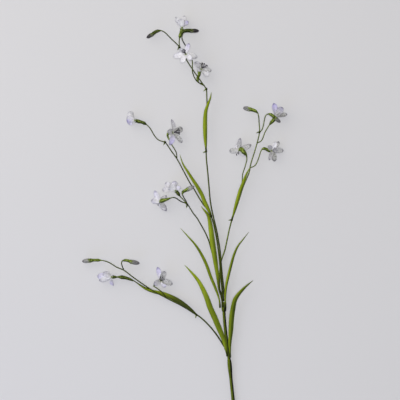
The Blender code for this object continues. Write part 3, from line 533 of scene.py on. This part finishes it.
LEAVES = {
    "leaf_left_upper": Leaf(
        route=(
            (32.2, -173.0, 10.8), (31.0, -160.0, 11.0), (25.4, -143.0, 11.8), (17.1, -122.9, 13.6),
            (9.3, -101.6, 16.0), (0.3, -83.7, 18.4), (-8.6, -70.4, 19.6), (-20.0, -57.6, 19.0),
            (-31.5, -44.8, 16.4),
        ),
        width=5.0,
        widest=0.45,
        twist=25.0,
    ),
    "leaf_left_lower": Leaf(
        route=(
            (43.9, -251.0, 10.0), (42.6, -243.2, 11.2), (38.0, -224.0, 12.6), (31.2, -207.2, 14.6),
            (23.6, -188.8, 17.4), (16.2, -172.3, 20.0), (10.4, -155.6, 21.6), (4.0, -141.4, 21.4),
            (-3.2, -128.6, 19.4), (-14.4, -115.2, 14.6), (-25.0, -104.0, 8.4),
        ),
        width=9.2,
        widest=0.42,
        twist=10.0,
    ),
    "leaf_right_lower": Leaf(
        route=(
            (48.5, -253.0, 9.9), (48.2, -243.0, 11.4), (47.8, -230.0, 12.6), (49.6, -208.0, 15.8),
            (50.9, -188.8, 19.0), (53.3, -172.3, 21.8), (56.5, -158.9, 23.6), (64.3, -147.7, 24.2),
            (75.5, -136.5, 22.4), (85.1, -128.6, 19.0),
        ),
        width=8.6,
        widest=0.5,
        twist=-30.0,
    ),
    "leaf_right_upper": Leaf(
        route=(
            (40.7, -172.6, 15.5), (40.4, -160.0, 15.7), (41.0, -146.0, 15.4), (42.6, -134.0, 15.4),
            (45.6, -121.0, 16.0), (51.2, -99.2, 17.4), (54.8, -86.9, 19.2), (60.8, -73.6, 20.6),
            (67.8, -64.5, 20.6), (78.2, -51.2, 18.0),
        ),
        width=4.6,
        widest=0.45,
        twist=-20.0,
    ),
    "leaf_middle": Leaf(
        route=(
            (36.6, -172.0, 15.5), (34.8, -158.0, 16.2), (30.6, -144.0, 16.8), (29.0, -128.0, 17.3),
            (26.8, -112.0, 17.8), (24.3, -96.0, 18.3), (21.9, -80.0, 18.9), (19.6, -64.0, 19.5),
            (17.6, -48.0, 20.1), (15.8, -35.2, 20.5), (12.9, -24.0, 20.9), (7.2, -16.8, 21.2),
            (1.6, -10.0, 21.2),
        ),
        width=8.4,
        widest=0.62,
        twist=0.0,
        dark=0.34,
    ),
    "leaf_low_branch": Leaf(
        route=(
            (-4.8, -184.6, 11.3), (-14.4, -176.4, 12.2), (-24.0, -168.8, 12.5), (-36.0, -160.8, 12.3),
            (-48.0, -154.8, 9.4), (-60.0, -150.2, 7.6), (-70.0, -148.0, 7.0), (-84.0, -144.0, 6.2),
            (-96.0, -137.0, 5.0), (-106.0, -129.6, 3.8),
        ),
        width=7.4,
        widest=0.34,
        twist=0.0,
        dark=0.7,
    ),
    "leaf_left_branch": Leaf(
        route=(
            (18.4, -26.4, 19.2), (16.0, -21.0, 19.1), (12.2, -12.4, 18.6), (7.2, -2.4, 18.3),
            (3.2, 8.0, 18.1), (-4.8, 22.4, 18.0), (-11.2, 32.0, 18.0), (-19.2, 44.8, 18.0),
            (-27.2, 57.6, 17.6), (-32.6, 73.6, 16.4),
        ),
        width=6.2,
        widest=0.3,
        twist=-8.0,
    ),
    "leaf_top_branch": Leaf(
        route=(
            (9.8, 78.6, 19.5), (8.6, 96.0, 19.7), (7.9, 120.0, 20.2), (9.0, 140.8, 20.6),
            (12.8, 153.6, 21.4), (16.6, 163.2, 22.0), (18.2, 172.3, 22.0),
        ),
        width=6.8,
        widest=0.42,
        twist=12.0,
    ),
    "leaf_right_branch": Leaf(
        route=(
            (51.0, -31.4, 13.8), (56.0, -14.4, 15.0), (60.0, 0.0, 15.6), (63.7, 12.8, 16.6),
            (68.2, 25.6, 17.8), (73.6, 40.0, 18.8), (80.0, 52.8, 19.4),
        ),
        width=6.0,
        widest=0.45,
        twist=8.0,
    ),
}


def vectors(points):
    return [Vector(point) for point in points]


def stretches(points):
    """The length from each point of a chain to the next."""
    return [(after - here).length for here, after in zip(points, points[1:])]


def point_along(points, share):
    """The point at this share of a chain's length."""
    lengths = stretches(points)
    wanted = share * sum(lengths)
    for here, after, length in zip(points, points[1:], lengths):
        if wanted <= length:
            return here.lerp(after, wanted / length)
        wanted -= length
    return points[-1].copy()


def smooth_route(points, pieces):
    """Evenly spaced points on a smooth curve through the given ones."""
    points = vectors(points)
    stations = [0.0]
    for length in stretches(points):
        stations.append(stations[-1] + length)
    last = len(points) - 1
    slopes = []
    for i in range(last + 1):
        low, high = max(i - 1, 0), min(i + 1, last)
        slopes.append((points[high] - points[low]) / (stations[high] - stations[low]))
    chain = []
    for i in range(last):
        reach = (stations[i + 1] - stations[i]) / 3
        handles = points[i] + slopes[i] * reach, points[i + 1] - slopes[i + 1] * reach
        chain += interpolate_bezier(points[i], *handles, points[i + 1], CURVE_POINTS)[:-1]
    chain.append(points[-1])
    return [point_along(chain, i / pieces) for i in range(pieces + 1)]


def directions(line):
    """Unit vector along the line at each of its points."""
    last = len(line) - 1
    return [(line[min(i + 1, last)] - line[max(i - 1, 0)]).normalized() for i in range(last + 1)]


def ramp(values, share):
    """The value at this share of an evenly spaced list."""
    place = share * (len(values) - 1)
    low = min(int(place), len(values) - 2)
    return values[low] + (values[low + 1] - values[low]) * (place - low)


def swell(share, widest):
    """Zero at both ends and one at the widest share, as the outline of a leaf."""
    return math.sin(math.pi * min(1.0, share) ** (math.log(0.5) / math.log(widest)))


def new_skin():
    """An empty mesh whose vertices hold the traits that the finishes read."""
    skin = bmesh.new()
    for trait in TRAITS:
        skin.verts.layers.float.new(trait)
    return skin


def mark(skin, vertices, traits):
    """Gives the vertices these traits."""
    for trait, value in traits.items():
        layer = skin.verts.layers.float[trait]
        for vertex in vertices:
            vertex[layer] = value


def paint_shade_at_base(skin, darkest, reach):
    """Paints shade on the base of all that is drawn so far: the tone falls by one over this share of the
    length.
    """
    along_layer = skin.verts.layers.float["along"]
    for vertex in skin.verts:
        mark(skin, [vertex], {"tone": max(0.0, darkest - vertex[along_layer] / reach)})


def tube(skin, route, radii, spacing, sides, ribs=0.0, turns=0.0, **traits):
    """A ring extruded along a smooth route, its radii read from an even list, with both ends closed.

    Every second point of the ring can stand back by a share of the radius, as ribs that wind round."""
    points = vectors(route)
    rows = max(3, round(sum(stretches(points)) / spacing))
    line = smooth_route(points, rows)
    # The later rounding pulls a ring of few sides in, so it starts that much wider.
    wider = 1 / (0.75 + 0.25 * math.cos(2 * math.pi / sides))
    normal = UP
    stations = []
    for row, direction in enumerate(directions(line)):
        normal = (normal - direction * normal.dot(direction)).normalized()
        turned = Matrix((normal, direction.cross(normal), direction)).transposed().to_4x4()
        winding = Matrix.Rotation(2 * math.pi * turns * row / rows, 4, "Z")
        size = Matrix.Scale(ramp(radii, row / rows) * wider * MM, 4)
        stations.append(Matrix.Translation(line[row] * MM) @ turned @ winding @ size)
    ring = bmesh.ops.create_circle(skin, segments=sides, radius=1.0)["verts"]
    bmesh.ops.scale(skin, vec=(1 - ribs, 1 - ribs, 1), verts=ring[::2])
    bmesh.ops.transform(skin, matrix=stations[0], verts=ring)
    mark(skin, ring, traits)
    mark(skin, ring[::2], {"groove": 1.0 if ribs else 0.0})
    edges = list({edge for vertex in ring for edge in vertex.link_edges})
    ends = bmesh.ops.holes_fill(skin, edges=edges, sides=0)["faces"]
    for row in range(1, rows + 1):
        grown = bmesh.ops.extrude_edge_only(skin, edges=edges)["geom"]
        ring = [part for part in grown if isinstance(part, bmesh.types.BMVert)]
        lines = [part for part in grown if isinstance(part, bmesh.types.BMEdge)]
        edges = [edge for edge in lines if set(edge.verts) <= set(ring)]
        bmesh.ops.transform(skin, matrix=stations[row] @ stations[row - 1].inverted(), verts=ring)
        mark(skin, ring, {"along": row / rows})
    ends += bmesh.ops.holes_fill(skin, edges=edges, sides=0)["faces"]
    return ends


def sheet(skin, columns, rows, place, thickness, **traits):
    """A grid laid out by place(sideways from -1 to 1, row) and thickened."""
    grid = bmesh.ops.create_grid(skin, x_segments=columns, y_segments=rows, size=1.0)["verts"]
    mark(skin, grid, traits)
    for vertex in grid:
        sideways = vertex.co.x
        row = round((vertex.co.y + 1) / 2 * rows)
        mark(skin, [vertex], {"across": sideways, "along": row / rows})
        point = place(sideways, row)
        # What would dip under the surface lies flat on it.
        point.z = max(point.z, thickness)
        vertex.co = point * MM
    faces = list({face for vertex in grid for face in vertex.link_faces})
    bmesh.ops.solidify(skin, geom=faces, thickness=thickness * MM)


def leaf_sheet(skin, leaf):
    """A long narrow leaf with a soft ridge down its middle."""
    line = smooth_route(leaf.route, LEAF_ROWS)
    along = directions(line)
    sides_of = []
    widths = []
    for row, direction in enumerate(along):
        share = row / LEAF_ROWS
        side = direction.cross(UP).normalized()
        turn = math.radians(leaf.twist) * share
        sides_of.append(side * math.cos(turn) + side.cross(direction) * math.sin(turn))
        base = LEAF_BASE * (1 - share) ** 3
        widths.append(max(LEAF_TIP, base, leaf.width * swell(share, leaf.widest) ** LEAF_SHARPNESS))

    def place(sideways, row):
        share = row / LEAF_ROWS
        side = sides_of[row]
        normal = side.cross(along[row]).normalized()
        wave = LEAF_WAVE * math.sin(17 * share + 2 * sideways) * sideways**2
        lift = wave - LEAF_RIDGE * abs(sideways) ** 1.3
        return line[row] + side * (sideways * widths[row] / 2) + normal * (lift * widths[row])

    sheet(skin, LEAF_COLUMNS, LEAF_ROWS, place, LEAF_SHEET)
    # Painted shade on the leaf's base, where it crowds in by the stalks.
    paint_shade_at_base(skin, 1.0, leaf.dark)


def petal_sheet(skin, centre, facing, petal, sharpness, index):
    """A creased petal that leaves the throat forwards, arches out to its tip and rolls flat."""
    *tip, width, lilac, freckle = petal
    tip = Vector(tip)
    sharpness += LILAC_SHARPNESS * lilac
    outward = (tip - facing * tip.dot(facing)).normalized()
    root = centre + outward * PETAL_ROOT
    leaving = root + outward * PETAL_OUT + facing * PETAL_FORWARD
    arching = centre + tip * PETAL_ARCH_SHARE + facing * PETAL_ARCH
    line = interpolate_bezier(root, leaving, arching, centre + tip, PETAL_ROWS + 1)
    along = directions(line)
    level = outward.cross(facing)

    def place(sideways, row):
        share = row / PETAL_ROWS
        flat = along[row].cross(UP).normalized()
        flat *= 1 if flat.dot(level) > 0 else -1
        side = level.lerp(flat, PETAL_ROLL * min(1, 1.4 * share)).normalized()
        normal = side.cross(along[row]).normalized()
        outline = width * swell(share, PETAL_WIDEST) ** sharpness
        wide = max(PETAL_TIP, PETAL_CLAW * (1 - share), outline)
        crease = PETAL_CREASE * math.exp(-((sideways / 0.2) ** 2))
        wave = PETAL_WAVE * share * math.sin(9 * share + 2 * index) * sideways**3
        lift = PETAL_HOLLOW * sideways**2 + wave - crease
        return line[row] + side * (sideways * wide / 2) + normal * (lift * wide)

    sheet(skin, PETAL_COLUMNS, PETAL_ROWS, place, PETAL_SHEET, lilac=lilac, freckle=freckle)


def bract_sheet(skin, root, tip, out, width, **traits):
    """A small pointed green scale that clasps what it grows from."""
    handles = root.lerp(tip, 0.4) + out * BRACT_ARCH, root.lerp(tip, 0.8) + out * BRACT_ARCH
    line = interpolate_bezier(root, *handles, tip, BRACT_ROWS + 1)
    along = directions(line)

    def place(sideways, row):
        side = out.cross(along[row]).normalized()
        wide = max(BRACT_TIP, width * (1 - (row / BRACT_ROWS) ** 1.6))
        return line[row] + side * (sideways * wide / 2) - out * (BRACT_HOLLOW * wide * sideways**2)

    sheet(skin, BRACT_COLUMNS, BRACT_ROWS, place, BRACT_SHEET, **traits)


def round_about(facing, count, offset):
    """Evenly spaced directions square to the one faced, the first turned by this share of a step."""
    first = facing.orthogonal().normalized()
    second = facing.cross(first)
    turns = [2 * math.pi * (i + offset) / count for i in range(count)]
    return [first * math.cos(turn) + second * math.sin(turn) for turn in turns]


def placed(name, data):
    """A new object in the scene."""
    made = bpy.data.objects.new(name, data)
    bpy.context.scene.collection.objects.link(made)
    return made


def drawn(name, skin, material):
    """A new object in the scene with this mesh and material."""
    mesh = bpy.data.meshes.new(name)
    skin.to_mesh(mesh)
    skin.free()
    mesh.materials.append(material)
    return placed(name, mesh)


def piece(name, skin, slot, *replaced):
    """The finished piece, which stands for the solids named."""
    bmesh.ops.translate(skin, vec=PLACE * MM, verts=skin.verts)
    bmesh.ops.recalc_face_normals(skin, faces=skin.faces)
    skin.normal_update()
    # Each vertex keeps how squarely it faces the painted light, for the finishes' painted light and shade.
    for vertex in skin.verts:
        mark(skin, [vertex], {"painted_light": vertex.normal.dot(PAINTED_LIGHT_FROM)})
    made = drawn(name, skin, FINISHES[slot])
    made.data.shade_smooth()
    rounding = made.modifiers.new("rounding", "SUBSURF")
    rounding.levels = 1
    rounding.render_levels = 1
    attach(made, "root")
    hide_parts(*replaced)
    return made


def make_corolla(name, flower, centre, facing):
    """Six petals that grow from one throat."""
    skin = new_skin()
    throat = centre - facing * HUB_DEPTH, centre, centre + facing
    tube(skin, throat, HUB_RADII, spacing=0.7, sides=12, tone=1.0)
    mark(skin, skin.verts, {"along": 0.0})
    for index, petal in enumerate(flower.petals):
        petal_sheet(skin, centre, facing, petal, flower.sharpness, index)
    piece(name + "_corolla", skin, "petal", name + "_petals")


def make_anthers(name, flower, centre, facing):
    """Six stamens with swinging anthers round a slim style with a three-part end."""
    # In a flower that is hardly open they lean out less.
    opening = min(facing.angle(Vector(petal[:3])) for petal in flower.petals)
    lean = min(STAMEN_LEAN, 0.1 + opening * 0.3)
    seat = centre + facing * (HUB_DEPTH + GAP)
    waist = seat + facing * SEAT_HEIGHT / 2
    skin = new_skin()
    tube(skin, (seat, waist, seat + facing * SEAT_HEIGHT), SEAT_RADII, spacing=0.5, sides=8)
    for i, out in enumerate(round_about(facing, STAMENS, 0.25)):
        base = waist + out * FILAMENT_RADII[0]
        length = STAMEN_LENGTH * STAMEN_SHARES[i % 3]
        end = base + (facing * math.cos(lean) + out * math.sin(lean)) * length
        bend = base.lerp(end, 0.5) - out * math.sin(lean) * length * STAMEN_BEND
        tube(skin, (base, bend, end), FILAMENT_RADII, spacing=1.6, sides=6, tone=flower.anthers)
        # An anther hangs aslant over the end of its filament, every second one the other way.
        swing = (out * 0.7 + facing * 0.55 + facing.cross(out) * (0.5 - i % 2)).normalized()
        lobes = end - swing * ANTHER_LENGTH / 2, end, end + swing * ANTHER_LENGTH / 2
        tube(skin, lobes, ANTHER_RADII, spacing=0.6, sides=6, ribs=ANTHER_RIBS, tone=flower.anthers)
    style_end = seat + facing * STYLE_LENGTH
    style = seat, seat.lerp(style_end, 0.5), style_end
    tube(skin, style, STYLE_RADII, spacing=2.0, sides=6)
    for out in round_about(facing, 3, 0.0):
        lobe = style_end, style_end + out * 0.9 + facing * 0.4, style_end + out * STYLE_LOBE
        tube(skin, lobe, STYLE_LOBE_RADII, spacing=0.5, sides=6, tone=flower.anthers / 2)
    piece(name + "_anthers", skin, "stamen", name + "_stamens")


def add_cup(skin, route, girth, shade, facing, scales):
    """The ribbed green cup that holds a bloom, with three small scales pressed to its end."""
    tube(skin, route, girth, spacing=1.2, sides=12, ribs=CUP_RIBS, cup=1.0, tone=shade)
    end = Vector(route[-1])
    for out in round_about(facing, 3, scales.turn):
        root = end - facing * scales.back + out * scales.inner
        tip = end + facing * scales.forward + out * scales.outer
        bract_sheet(skin, root, tip, out, scales.width, cup=1.0, tone=shade)


def add_flower(name, flower, branch_skin):
    """The flower's own pieces, and its cup on the branch."""
    facing = Vector(flower.facing).normalized()
    centre = Vector(flower.centre)
    make_corolla(name, flower, centre, facing)
    make_anthers(name, flower, centre, facing)
    seat = centre - facing * (HUB_DEPTH + GAP)
    cup = [*vectors(flower.cup), seat - facing * CUP_NECK, seat]
    add_cup(branch_skin, cup, flower.girth, flower.shade, facing, FLOWER_SCALES)


def add_bud(name, bud, branch_skin):
    """Petals still wound shut, and their cup on the branch."""
    cup_end = Vector(bud.cup[-1])
    along = (cup_end - Vector(bud.cup[-2])).normalized()
    tip = Vector(bud.tip)
    seat = cup_end + along * GAP
    route = seat, seat + along, seat.lerp(tip, 0.5) + along * BUD_BEND, tip
    radii = [bud.radius * share for share in BUD_SHARES]
    skin = new_skin()
    tube(skin, route, radii, spacing=0.9, sides=12, ribs=BUD_RIBS, turns=BUD_TURNS, tone=bud.tone)
    piece(name + "_petals", skin, "bud", name)
    # A scale's root is sunk in the cup by its own thickness, and its tip lies on the petals.
    inner = bud.girth[-1] - BRACT_SHEET
    scales = Scales(turn=0.3, back=2.0, inner=inner, forward=3.0, outer=bud.radius, width=3.6)
    # Only the darker buds have a darkened cup.
    shade = max(0.0, bud.tone * 1.6 - 0.7)
    add_cup(branch_skin, bud.cup, bud.girth, shade, along, scales)


def make_branch(name, branch):
    """A branch with its knots, stalks and cups in one piece, and its blooms."""
    skin = new_skin()
    route = vectors(branch.route)
    tube(skin, route, (BRANCH_RADIUS, STALK_RADIUS), spacing=4.0, sides=8, cup=branch.fresh)
    # Painted shade darkens the crowded roots of the branches.
    paint_shade_at_base(skin, KNOT_TONE_AND_ROOT_SHADE, ROOT_SHADE_REACH)
    for centre in vectors(branch.nodes):
        distances = [(point - centre).length for point in route]
        along = directions(route)[distances.index(min(distances))]
        ends = centre - along * KNOT_REACH, centre, centre + along * KNOT_REACH
        tube(skin, ends, KNOT_RADII, spacing=0.8, sides=10, tone=KNOT_TONE_AND_ROOT_SHADE)
        out = along.cross(-UP).normalized()
        tip = centre + out * KNOT_BRACT_OUT - along * KNOT_BRACT_BACK
        bract_sheet(skin, centre + out * STALK_RADIUS, tip, UP, KNOT_BRACT, cup=0.8)
    for bloom_name, bloom in BLOOMS.items():
        if not bloom_name.startswith(name + "_"):
            continue
        add = add_flower if isinstance(bloom, Flower) else add_bud
        add(bloom_name, bloom, skin)
        if bloom.stalk:
            tube(skin, bloom.stalk, (STALK_RADIUS, STALK_RADIUS), spacing=2.5, sides=8, cup=branch.fresh)
    piece(name + "_branch_stalks", skin, "stem", name + "_branch")


def make_main_stem():
    """The stem with its sawn end, its collar, its sleeve and the stub that carries the lowest branch."""
    skin = new_skin()
    cut, _ = tube(skin, MAIN_STEM, STEM_RADII, spacing=6.0, sides=16)
    bmesh.ops.inset_individual(skin, faces=[cut], thickness=CUT_RIM * MM, depth=0.0)
    bmesh.ops.inset_individual(skin, faces=[cut], thickness=CUT_STEP * MM, depth=-CUT_DEPTH * MM)
    cut.material_index = 1
    tube(skin, COLLAR, COLLAR_RADII, spacing=2.0, sides=16)
    along = (SLEEVE_END - Vector(MAIN_STEM[-3])).normalized()
    sleeve = SLEEVE_END - along * SLEEVE_LENGTH, SLEEVE_END
    tube(skin, sleeve, SLEEVE_RADII, spacing=2.0, sides=16)
    tube(skin, STUB, (STUB_RADIUS, STUB_RADIUS), spacing=2.5, sides=12)
    made = piece("main_stem_skin", skin, "stem", "main_stem")
    made.data.materials.append(FINISHES["cut"])


def make_leaves():
    for name, leaf in LEAVES.items():
        skin = new_skin()
        leaf_sheet(skin, leaf)
        piece(name + "_blade", skin, "leaf", name)


def linear(code):
    """An sRGB hex colour as linear red, green and blue, with full cover."""
    parts = [int(code[i : i + 2], 16) / 255 for i in (0, 2, 4)]
    return *(part / 12.92 if part <= 0.04045 else ((part + 0.055) / 1.055) ** 2.4 for part in parts), 1.0


def node(tree, kind, settings=None, links=None):
    """Adds a node, sets its properties and sockets, and joins sockets to what the links name."""
    made = tree.nodes.new(kind)
    # Properties come first, because some of them change which sockets the node has.
    for name, value in (settings or {}).items():
        if name in made.bl_rna.properties:
            setattr(made, name, value)
    for name, value in (settings or {}).items():
        if name not in made.bl_rna.properties:
            made.inputs[int(name) if name.isdigit() else name].default_value = value
    for name, source in (links or {}).items():
        tree.links.new(source, made.inputs[int(name) if name.isdigit() else name])
    return made


def start(name, **sockets):
    """A new material with numbers set on its shader's own sockets."""
    made = bpy.data.materials.new(name)
    made.use_nodes = True
    shader = made.node_tree.nodes["Principled BSDF"]
    shader.inputs["IOR"].default_value = COMMON_IOR
    for socket, value in sockets.items():
        shader.inputs[socket.replace("_", " ")].default_value = value
    return made, made.node_tree


def coat(tree, under, over, *masks):
    """Lays one colour over another by the product of the masks. A colour is a hex value or a socket.

    A mask is a trait's name or a socket, and then what it is carried from and to, where not zero to one."""
    cover = None
    for source, *span in masks:
        if isinstance(source, str):
            source = node(tree, "ShaderNodeAttribute", {"attribute_name": source}).outputs["Fac"]
        if span:
            settings = dict(zip(("From Min", "From Max", "To Min", "To Max"), span))
            source = node(tree, "ShaderNodeMapRange", settings, {"Value": source}).outputs["Result"]
        if cover is not None:
            settings = {"operation": "MULTIPLY"}
            source = node(tree, "ShaderNodeMath", settings, {"0": cover, "1": source}).outputs[0]
        cover = source
    settings = {"data_type": "RGBA"}
    links = {"0": cover}
    for name, colour in (("6", under), ("7", over)):
        if isinstance(colour, str):
            settings[name] = linear(colour)
        else:
            links[name] = colour
    return node(tree, "ShaderNodeMix", settings, links).outputs[2]


def mottle(tree, size, spread, stretch=(1, 1, 1), detail=2.0):
    """Cloudy patches of about this size in millimetres, harder-edged the smaller the spread."""
    place = node(tree, "ShaderNodeTexCoord").outputs["Object"]
    turned = node(tree, "ShaderNodeMapping", {"Scale": stretch}, {"Vector": place}).outputs["Vector"]
    settings = {"Scale": 1000 / size, "Detail": detail}
    noise = node(tree, "ShaderNodeTexNoise", settings, {"Vector": turned}).outputs["Fac"]
    settings = {"From Min": 0.5 - spread, "From Max": 0.5 + spread}
    return node(tree, "ShaderNodeMapRange", settings, {"Value": noise}).outputs["Result"]


def veins(tree, count):
    """Fine lines that run the length of a blade, this many from edge to edge."""
    across = node(tree, "ShaderNodeAttribute", {"attribute_name": "across"}).outputs["Fac"]
    settings = {"operation": "MULTIPLY", "1": math.pi * count}
    wide = node(tree, "ShaderNodeMath", settings, {"0": across}).outputs[0]
    wave = node(tree, "ShaderNodeMath", {"operation": "SINE"}, {"0": wide}).outputs[0]
    return node(tree, "ShaderNodeMapRange", {"From Min": -1.0}, {"Value": wave}).outputs["Result"]


def painted(made, colour, height, depth):
    """The material with this colour, its surface raised by up to this many millimetres."""
    tree = made.node_tree
    shader = tree.nodes["Principled BSDF"]
    tree.links.new(colour, shader.inputs["Base Color"])
    bump = node(tree, "ShaderNodeBump", {"Distance": depth * MM}, {"Height": height})
    tree.links.new(bump.outputs["Normal"], shader.inputs["Normal"])
    return made


def petal_cloth():
    """Thin printed polyester: matt, white, and lilac or grey and freckled further out."""
    made, tree = start("printed polyester petal", Roughness=0.65, Specular_IOR_Level=0.3)
    # Cloudy patches about 3 mm wide, as the dye takes unevenly
    clouds = mottle(tree, 3.0, 0.15)
    colour = coat(tree, "F5F5F8", "E1E0E5", (clouds,))
    colour = coat(tree, colour, "92938C", ("freckle",), (clouds, 0, 1, 0.7))
    lilac = ("lilac",), ("along", 0.2, 0.8, 0.05)
    colour = coat(tree, colour, "B3ABDF", *lilac, (clouds, 0, 1, 0.65))
    colour = coat(tree, colour, "7F78AE", *lilac, ("along", 0.78, 1, 0, 0.8))
    vein = veins(tree, 9)
    colour = coat(tree, colour, "8E8D98", (vein, 0.6, 1, 0, 0.1))
    # A dark rim along one side, stronger where the clouds are thick
    rim = ("across", 0.55, 1), ("along", 0.2, 0.6), (clouds, 0, 1, 0.1, 0.55)
    colour = coat(tree, colour, "6F6C7C", *rim)
    colour = coat(tree, colour, "5C5A68", ("along", 0.82, 1), ("freckle", 0, 0.8, 0.3, 0.9))
    place = node(tree, "ShaderNodeTexCoord").outputs["Object"]
    settings = {"Scale": 1000 / FRECKLE_SPACING}
    spots = node(tree, "ShaderNodeTexVoronoi", settings, {"Vector": place}).outputs["Distance"]
    freckles = (spots, 0.42, 0.2), ("along", 0.15, 0.4, 0, 0.7), ("freckle", 0.2, 0.8)
    colour = coat(tree, colour, "45434B", *freckles)
    # Yellow-green in the throat, and deeper on what the petals grow from
    colour = coat(tree, colour, "BAC292", ("along", 0.22, 0.04, 0, 0.7))
    colour = coat(tree, colour, "6B7A38", ("tone",))
    return painted(made, colour, vein, 0.08)


def leaf_plastic():
    """Moulded polyethylene: a soft waxy gloss, fine parallel veins, paler as painted light on one side and
    darker as painted shade on the other and at the base.
    """
    made, tree = start("moulded polyethylene leaf", Roughness=0.5, Specular_IOR_Level=0.13)
    patches = mottle(tree, 9.0, 0.2, (1.0, 0.35, 1.0))
    # Lit and shaded copies of the leaf green: the deep one is painted shade and the pale one painted light.
    shaded_leaf_green = coat(tree, "384602", "566604", (patches,))
    pale = coat(tree, "82940C", "9AAB22", (patches,))
    colour = coat(tree, shaded_leaf_green, pale, ("painted_light", 0.15, 0.62))
    vein = veins(tree, 11)
    colour = coat(tree, colour, "46540E", (vein, 0.5, 1, 0, 0.3))
    # Near-black painted shade at the leaf's base
    colour = coat(tree, colour, "151B03", ("tone", 0, 0.5, 0, 0.8))
    return painted(made, colour, vein, 0.12)


def stem_plastic():
    """Moulded polyethylene over wire: stalks olive as painted light on one side and near-black as painted
    shade on the other, mottled green cups.
    """
    made, tree = start("moulded polyethylene stem", Roughness=0.5, Specular_IOR_Level=0.1)
    # Streaks about 0.8 mm wide that run up the stem
    streaks = mottle(tree, 0.8, 0.2, (1.0, 0.06, 1.0), 3.0)
    olive = coat(tree, "556406", "7A8B14", (streaks,))
    # Olive painted light where the stalk faces the painted light, near-black painted shade where it faces
    # away.
    colour = coat(tree, "0C1200", olive, ("painted_light", 0.2, 0.75))
    # Warts about 2.6 mm across on the cups, with painted shade between the ribs and on the side that faces
    # away from the painted light
    warts = mottle(tree, 2.6, 0.1)
    green = coat(tree, "445412", "98AB4C", (warts,))
    green = coat(tree, green, "2A360C", ("painted_light", 0.475, 0.2, 0, 0.7))
    green = coat(tree, green, "36430F", ("groove", 0.3, 1, 0, 0.45))
    colour = coat(tree, colour, green, ("cup",))
    # Near-black by tone: painted shade at the branches' crowded roots, and the own dark colour of knots and
    # dark cups
    colour = coat(tree, colour, "171C06", ("tone", 0, 1, 0, 0.8))
    return painted(made, colour, coat(tree, streaks, warts, ("cup",)), 0.15)


def anther_flock():
    """Flocked anthers: near-black violet and very dull where ripe, on paler coated filaments."""
    made, tree = start("flocked anther", Roughness=0.85, Specular_IOR_Level=0.1)
    grains = mottle(tree, 0.35, 0.2)
    flock = coat(tree, "0F0C14", "2A2436", (grains,))
    return painted(made, coat(tree, "ADACB4", flock, ("tone",)), grains, 0.1)


def bud_cloth():
    """Wound polyester: grey-lilac, greener below, brown-black in the dark ones, with painted shade in the
    seams.
    """
    made, tree = start("wound polyester bud", Roughness=0.6, Specular_IOR_Level=0.2)
    patches = mottle(tree, 2.2, 0.12)
    pale = coat(tree, "B3B4AF", "8C8C8C", (patches,))
    dark = coat(tree, "16160C", "2C2826", (patches,))
    colour = coat(tree, pale, dark, ("tone",))
    colour = coat(tree, colour, "4A4450", ("along", 0.6, 1, 0, 0.6))
    colour = coat(tree, colour, "7F8A4E", ("along", 0.35, 0, 0, 0.8))
    # Painted shade in the sunken seams between the ribs
    colour = coat(tree, colour, "3E3944", ("groove", 0.4, 1, 0, 0.5))
    return painted(made, colour, patches, 0.12)


def cut_core():
    """The sawn end of the stem: pale, dry and rough."""
    made, tree = start("sawn stem core", Roughness=0.8)
    rings = mottle(tree, 0.7, 0.2)
    return painted(made, coat(tree, "A9AC7C", "C9CBA2", (rings,)), rings, 0.1)


def make_floor():
    """A plain sheet of pale paper that reaches 30 m each way, with very faint wide patches."""
    skin = bmesh.new()
    bmesh.ops.create_grid(skin, x_segments=1, y_segments=1, size=30.0)
    paper, tree = start("pale paper", Roughness=0.9, Specular_IOR_Level=0.2)
    colour = coat(tree, "D0D0D1", "D2D2D3", (mottle(tree, 400.0, 0.5, detail=0.0),))
    tree.links.new(colour, tree.nodes["Principled BSDF"].inputs["Base Color"])
    floor = drawn("floor", skin, paper)


def add_light(name, place, size, power, colour):
    """A square panel that faces the origin: its place and size are in metres and its power in watts."""
    lamp = bpy.data.lights.new(name, "AREA")
    lamp.size = size
    lamp.energy = power
    lamp.color = linear(colour)[:3]
    made = placed(name, lamp)
    made.location = place
    made.rotation_euler = (-Vector(place)).to_track_quat("-Z", "Y").to_euler()


def light_scene():
    """Soft studio light: a panel straight overhead, large weak ones to the left, and a pale surround."""
    world = bpy.data.worlds.new("studio")
    world.use_nodes = True
    background = world.node_tree.nodes["Background"]
    background.inputs["Color"].default_value = linear("DCDDE2")
    background.inputs["Strength"].default_value = 0.3
    bpy.context.scene.world = world
    overhead = PLACE.x * MM, PLACE.y * MM, 5.0
    add_light("overhead", overhead, size=0.5, power=145.0, colour="FFFDFC")
    add_light("side", (-1.3, 0.9, 1.3), size=2.6, power=19.0, colour="FFFAF0")
    add_light("fill", (-1.1, -1.3, 1.1), size=1.5, power=6.5, colour="A6BAFF")
    bpy.context.scene.view_settings.view_transform = "Standard"


def set_camera():
    """The camera looks straight down on the middle of the photograph."""
    lens = bpy.data.cameras.new("camera")
    lens.lens = LENS
    lens.sensor_width = SENSOR
    camera = placed("camera", lens)
    camera.location = (PLACE.x * MM, PLACE.y * MM, CAMERA_HEIGHT)
    bpy.context.scene.camera = camera


# Each finish but the last is named for the slot that its pieces stand in.
FINISHES = {
    "petal": petal_cloth(),
    "leaf": leaf_plastic(),
    "stem": stem_plastic(),
    "stamen": anther_flock(),
    "bud": bud_cloth(),
    "cut": cut_core(),
}

set_camera()
light_scene()
make_floor()
make_main_stem()
for branch_name, branch in BRANCHES.items():
    make_branch(branch_name, branch)
make_leaves()
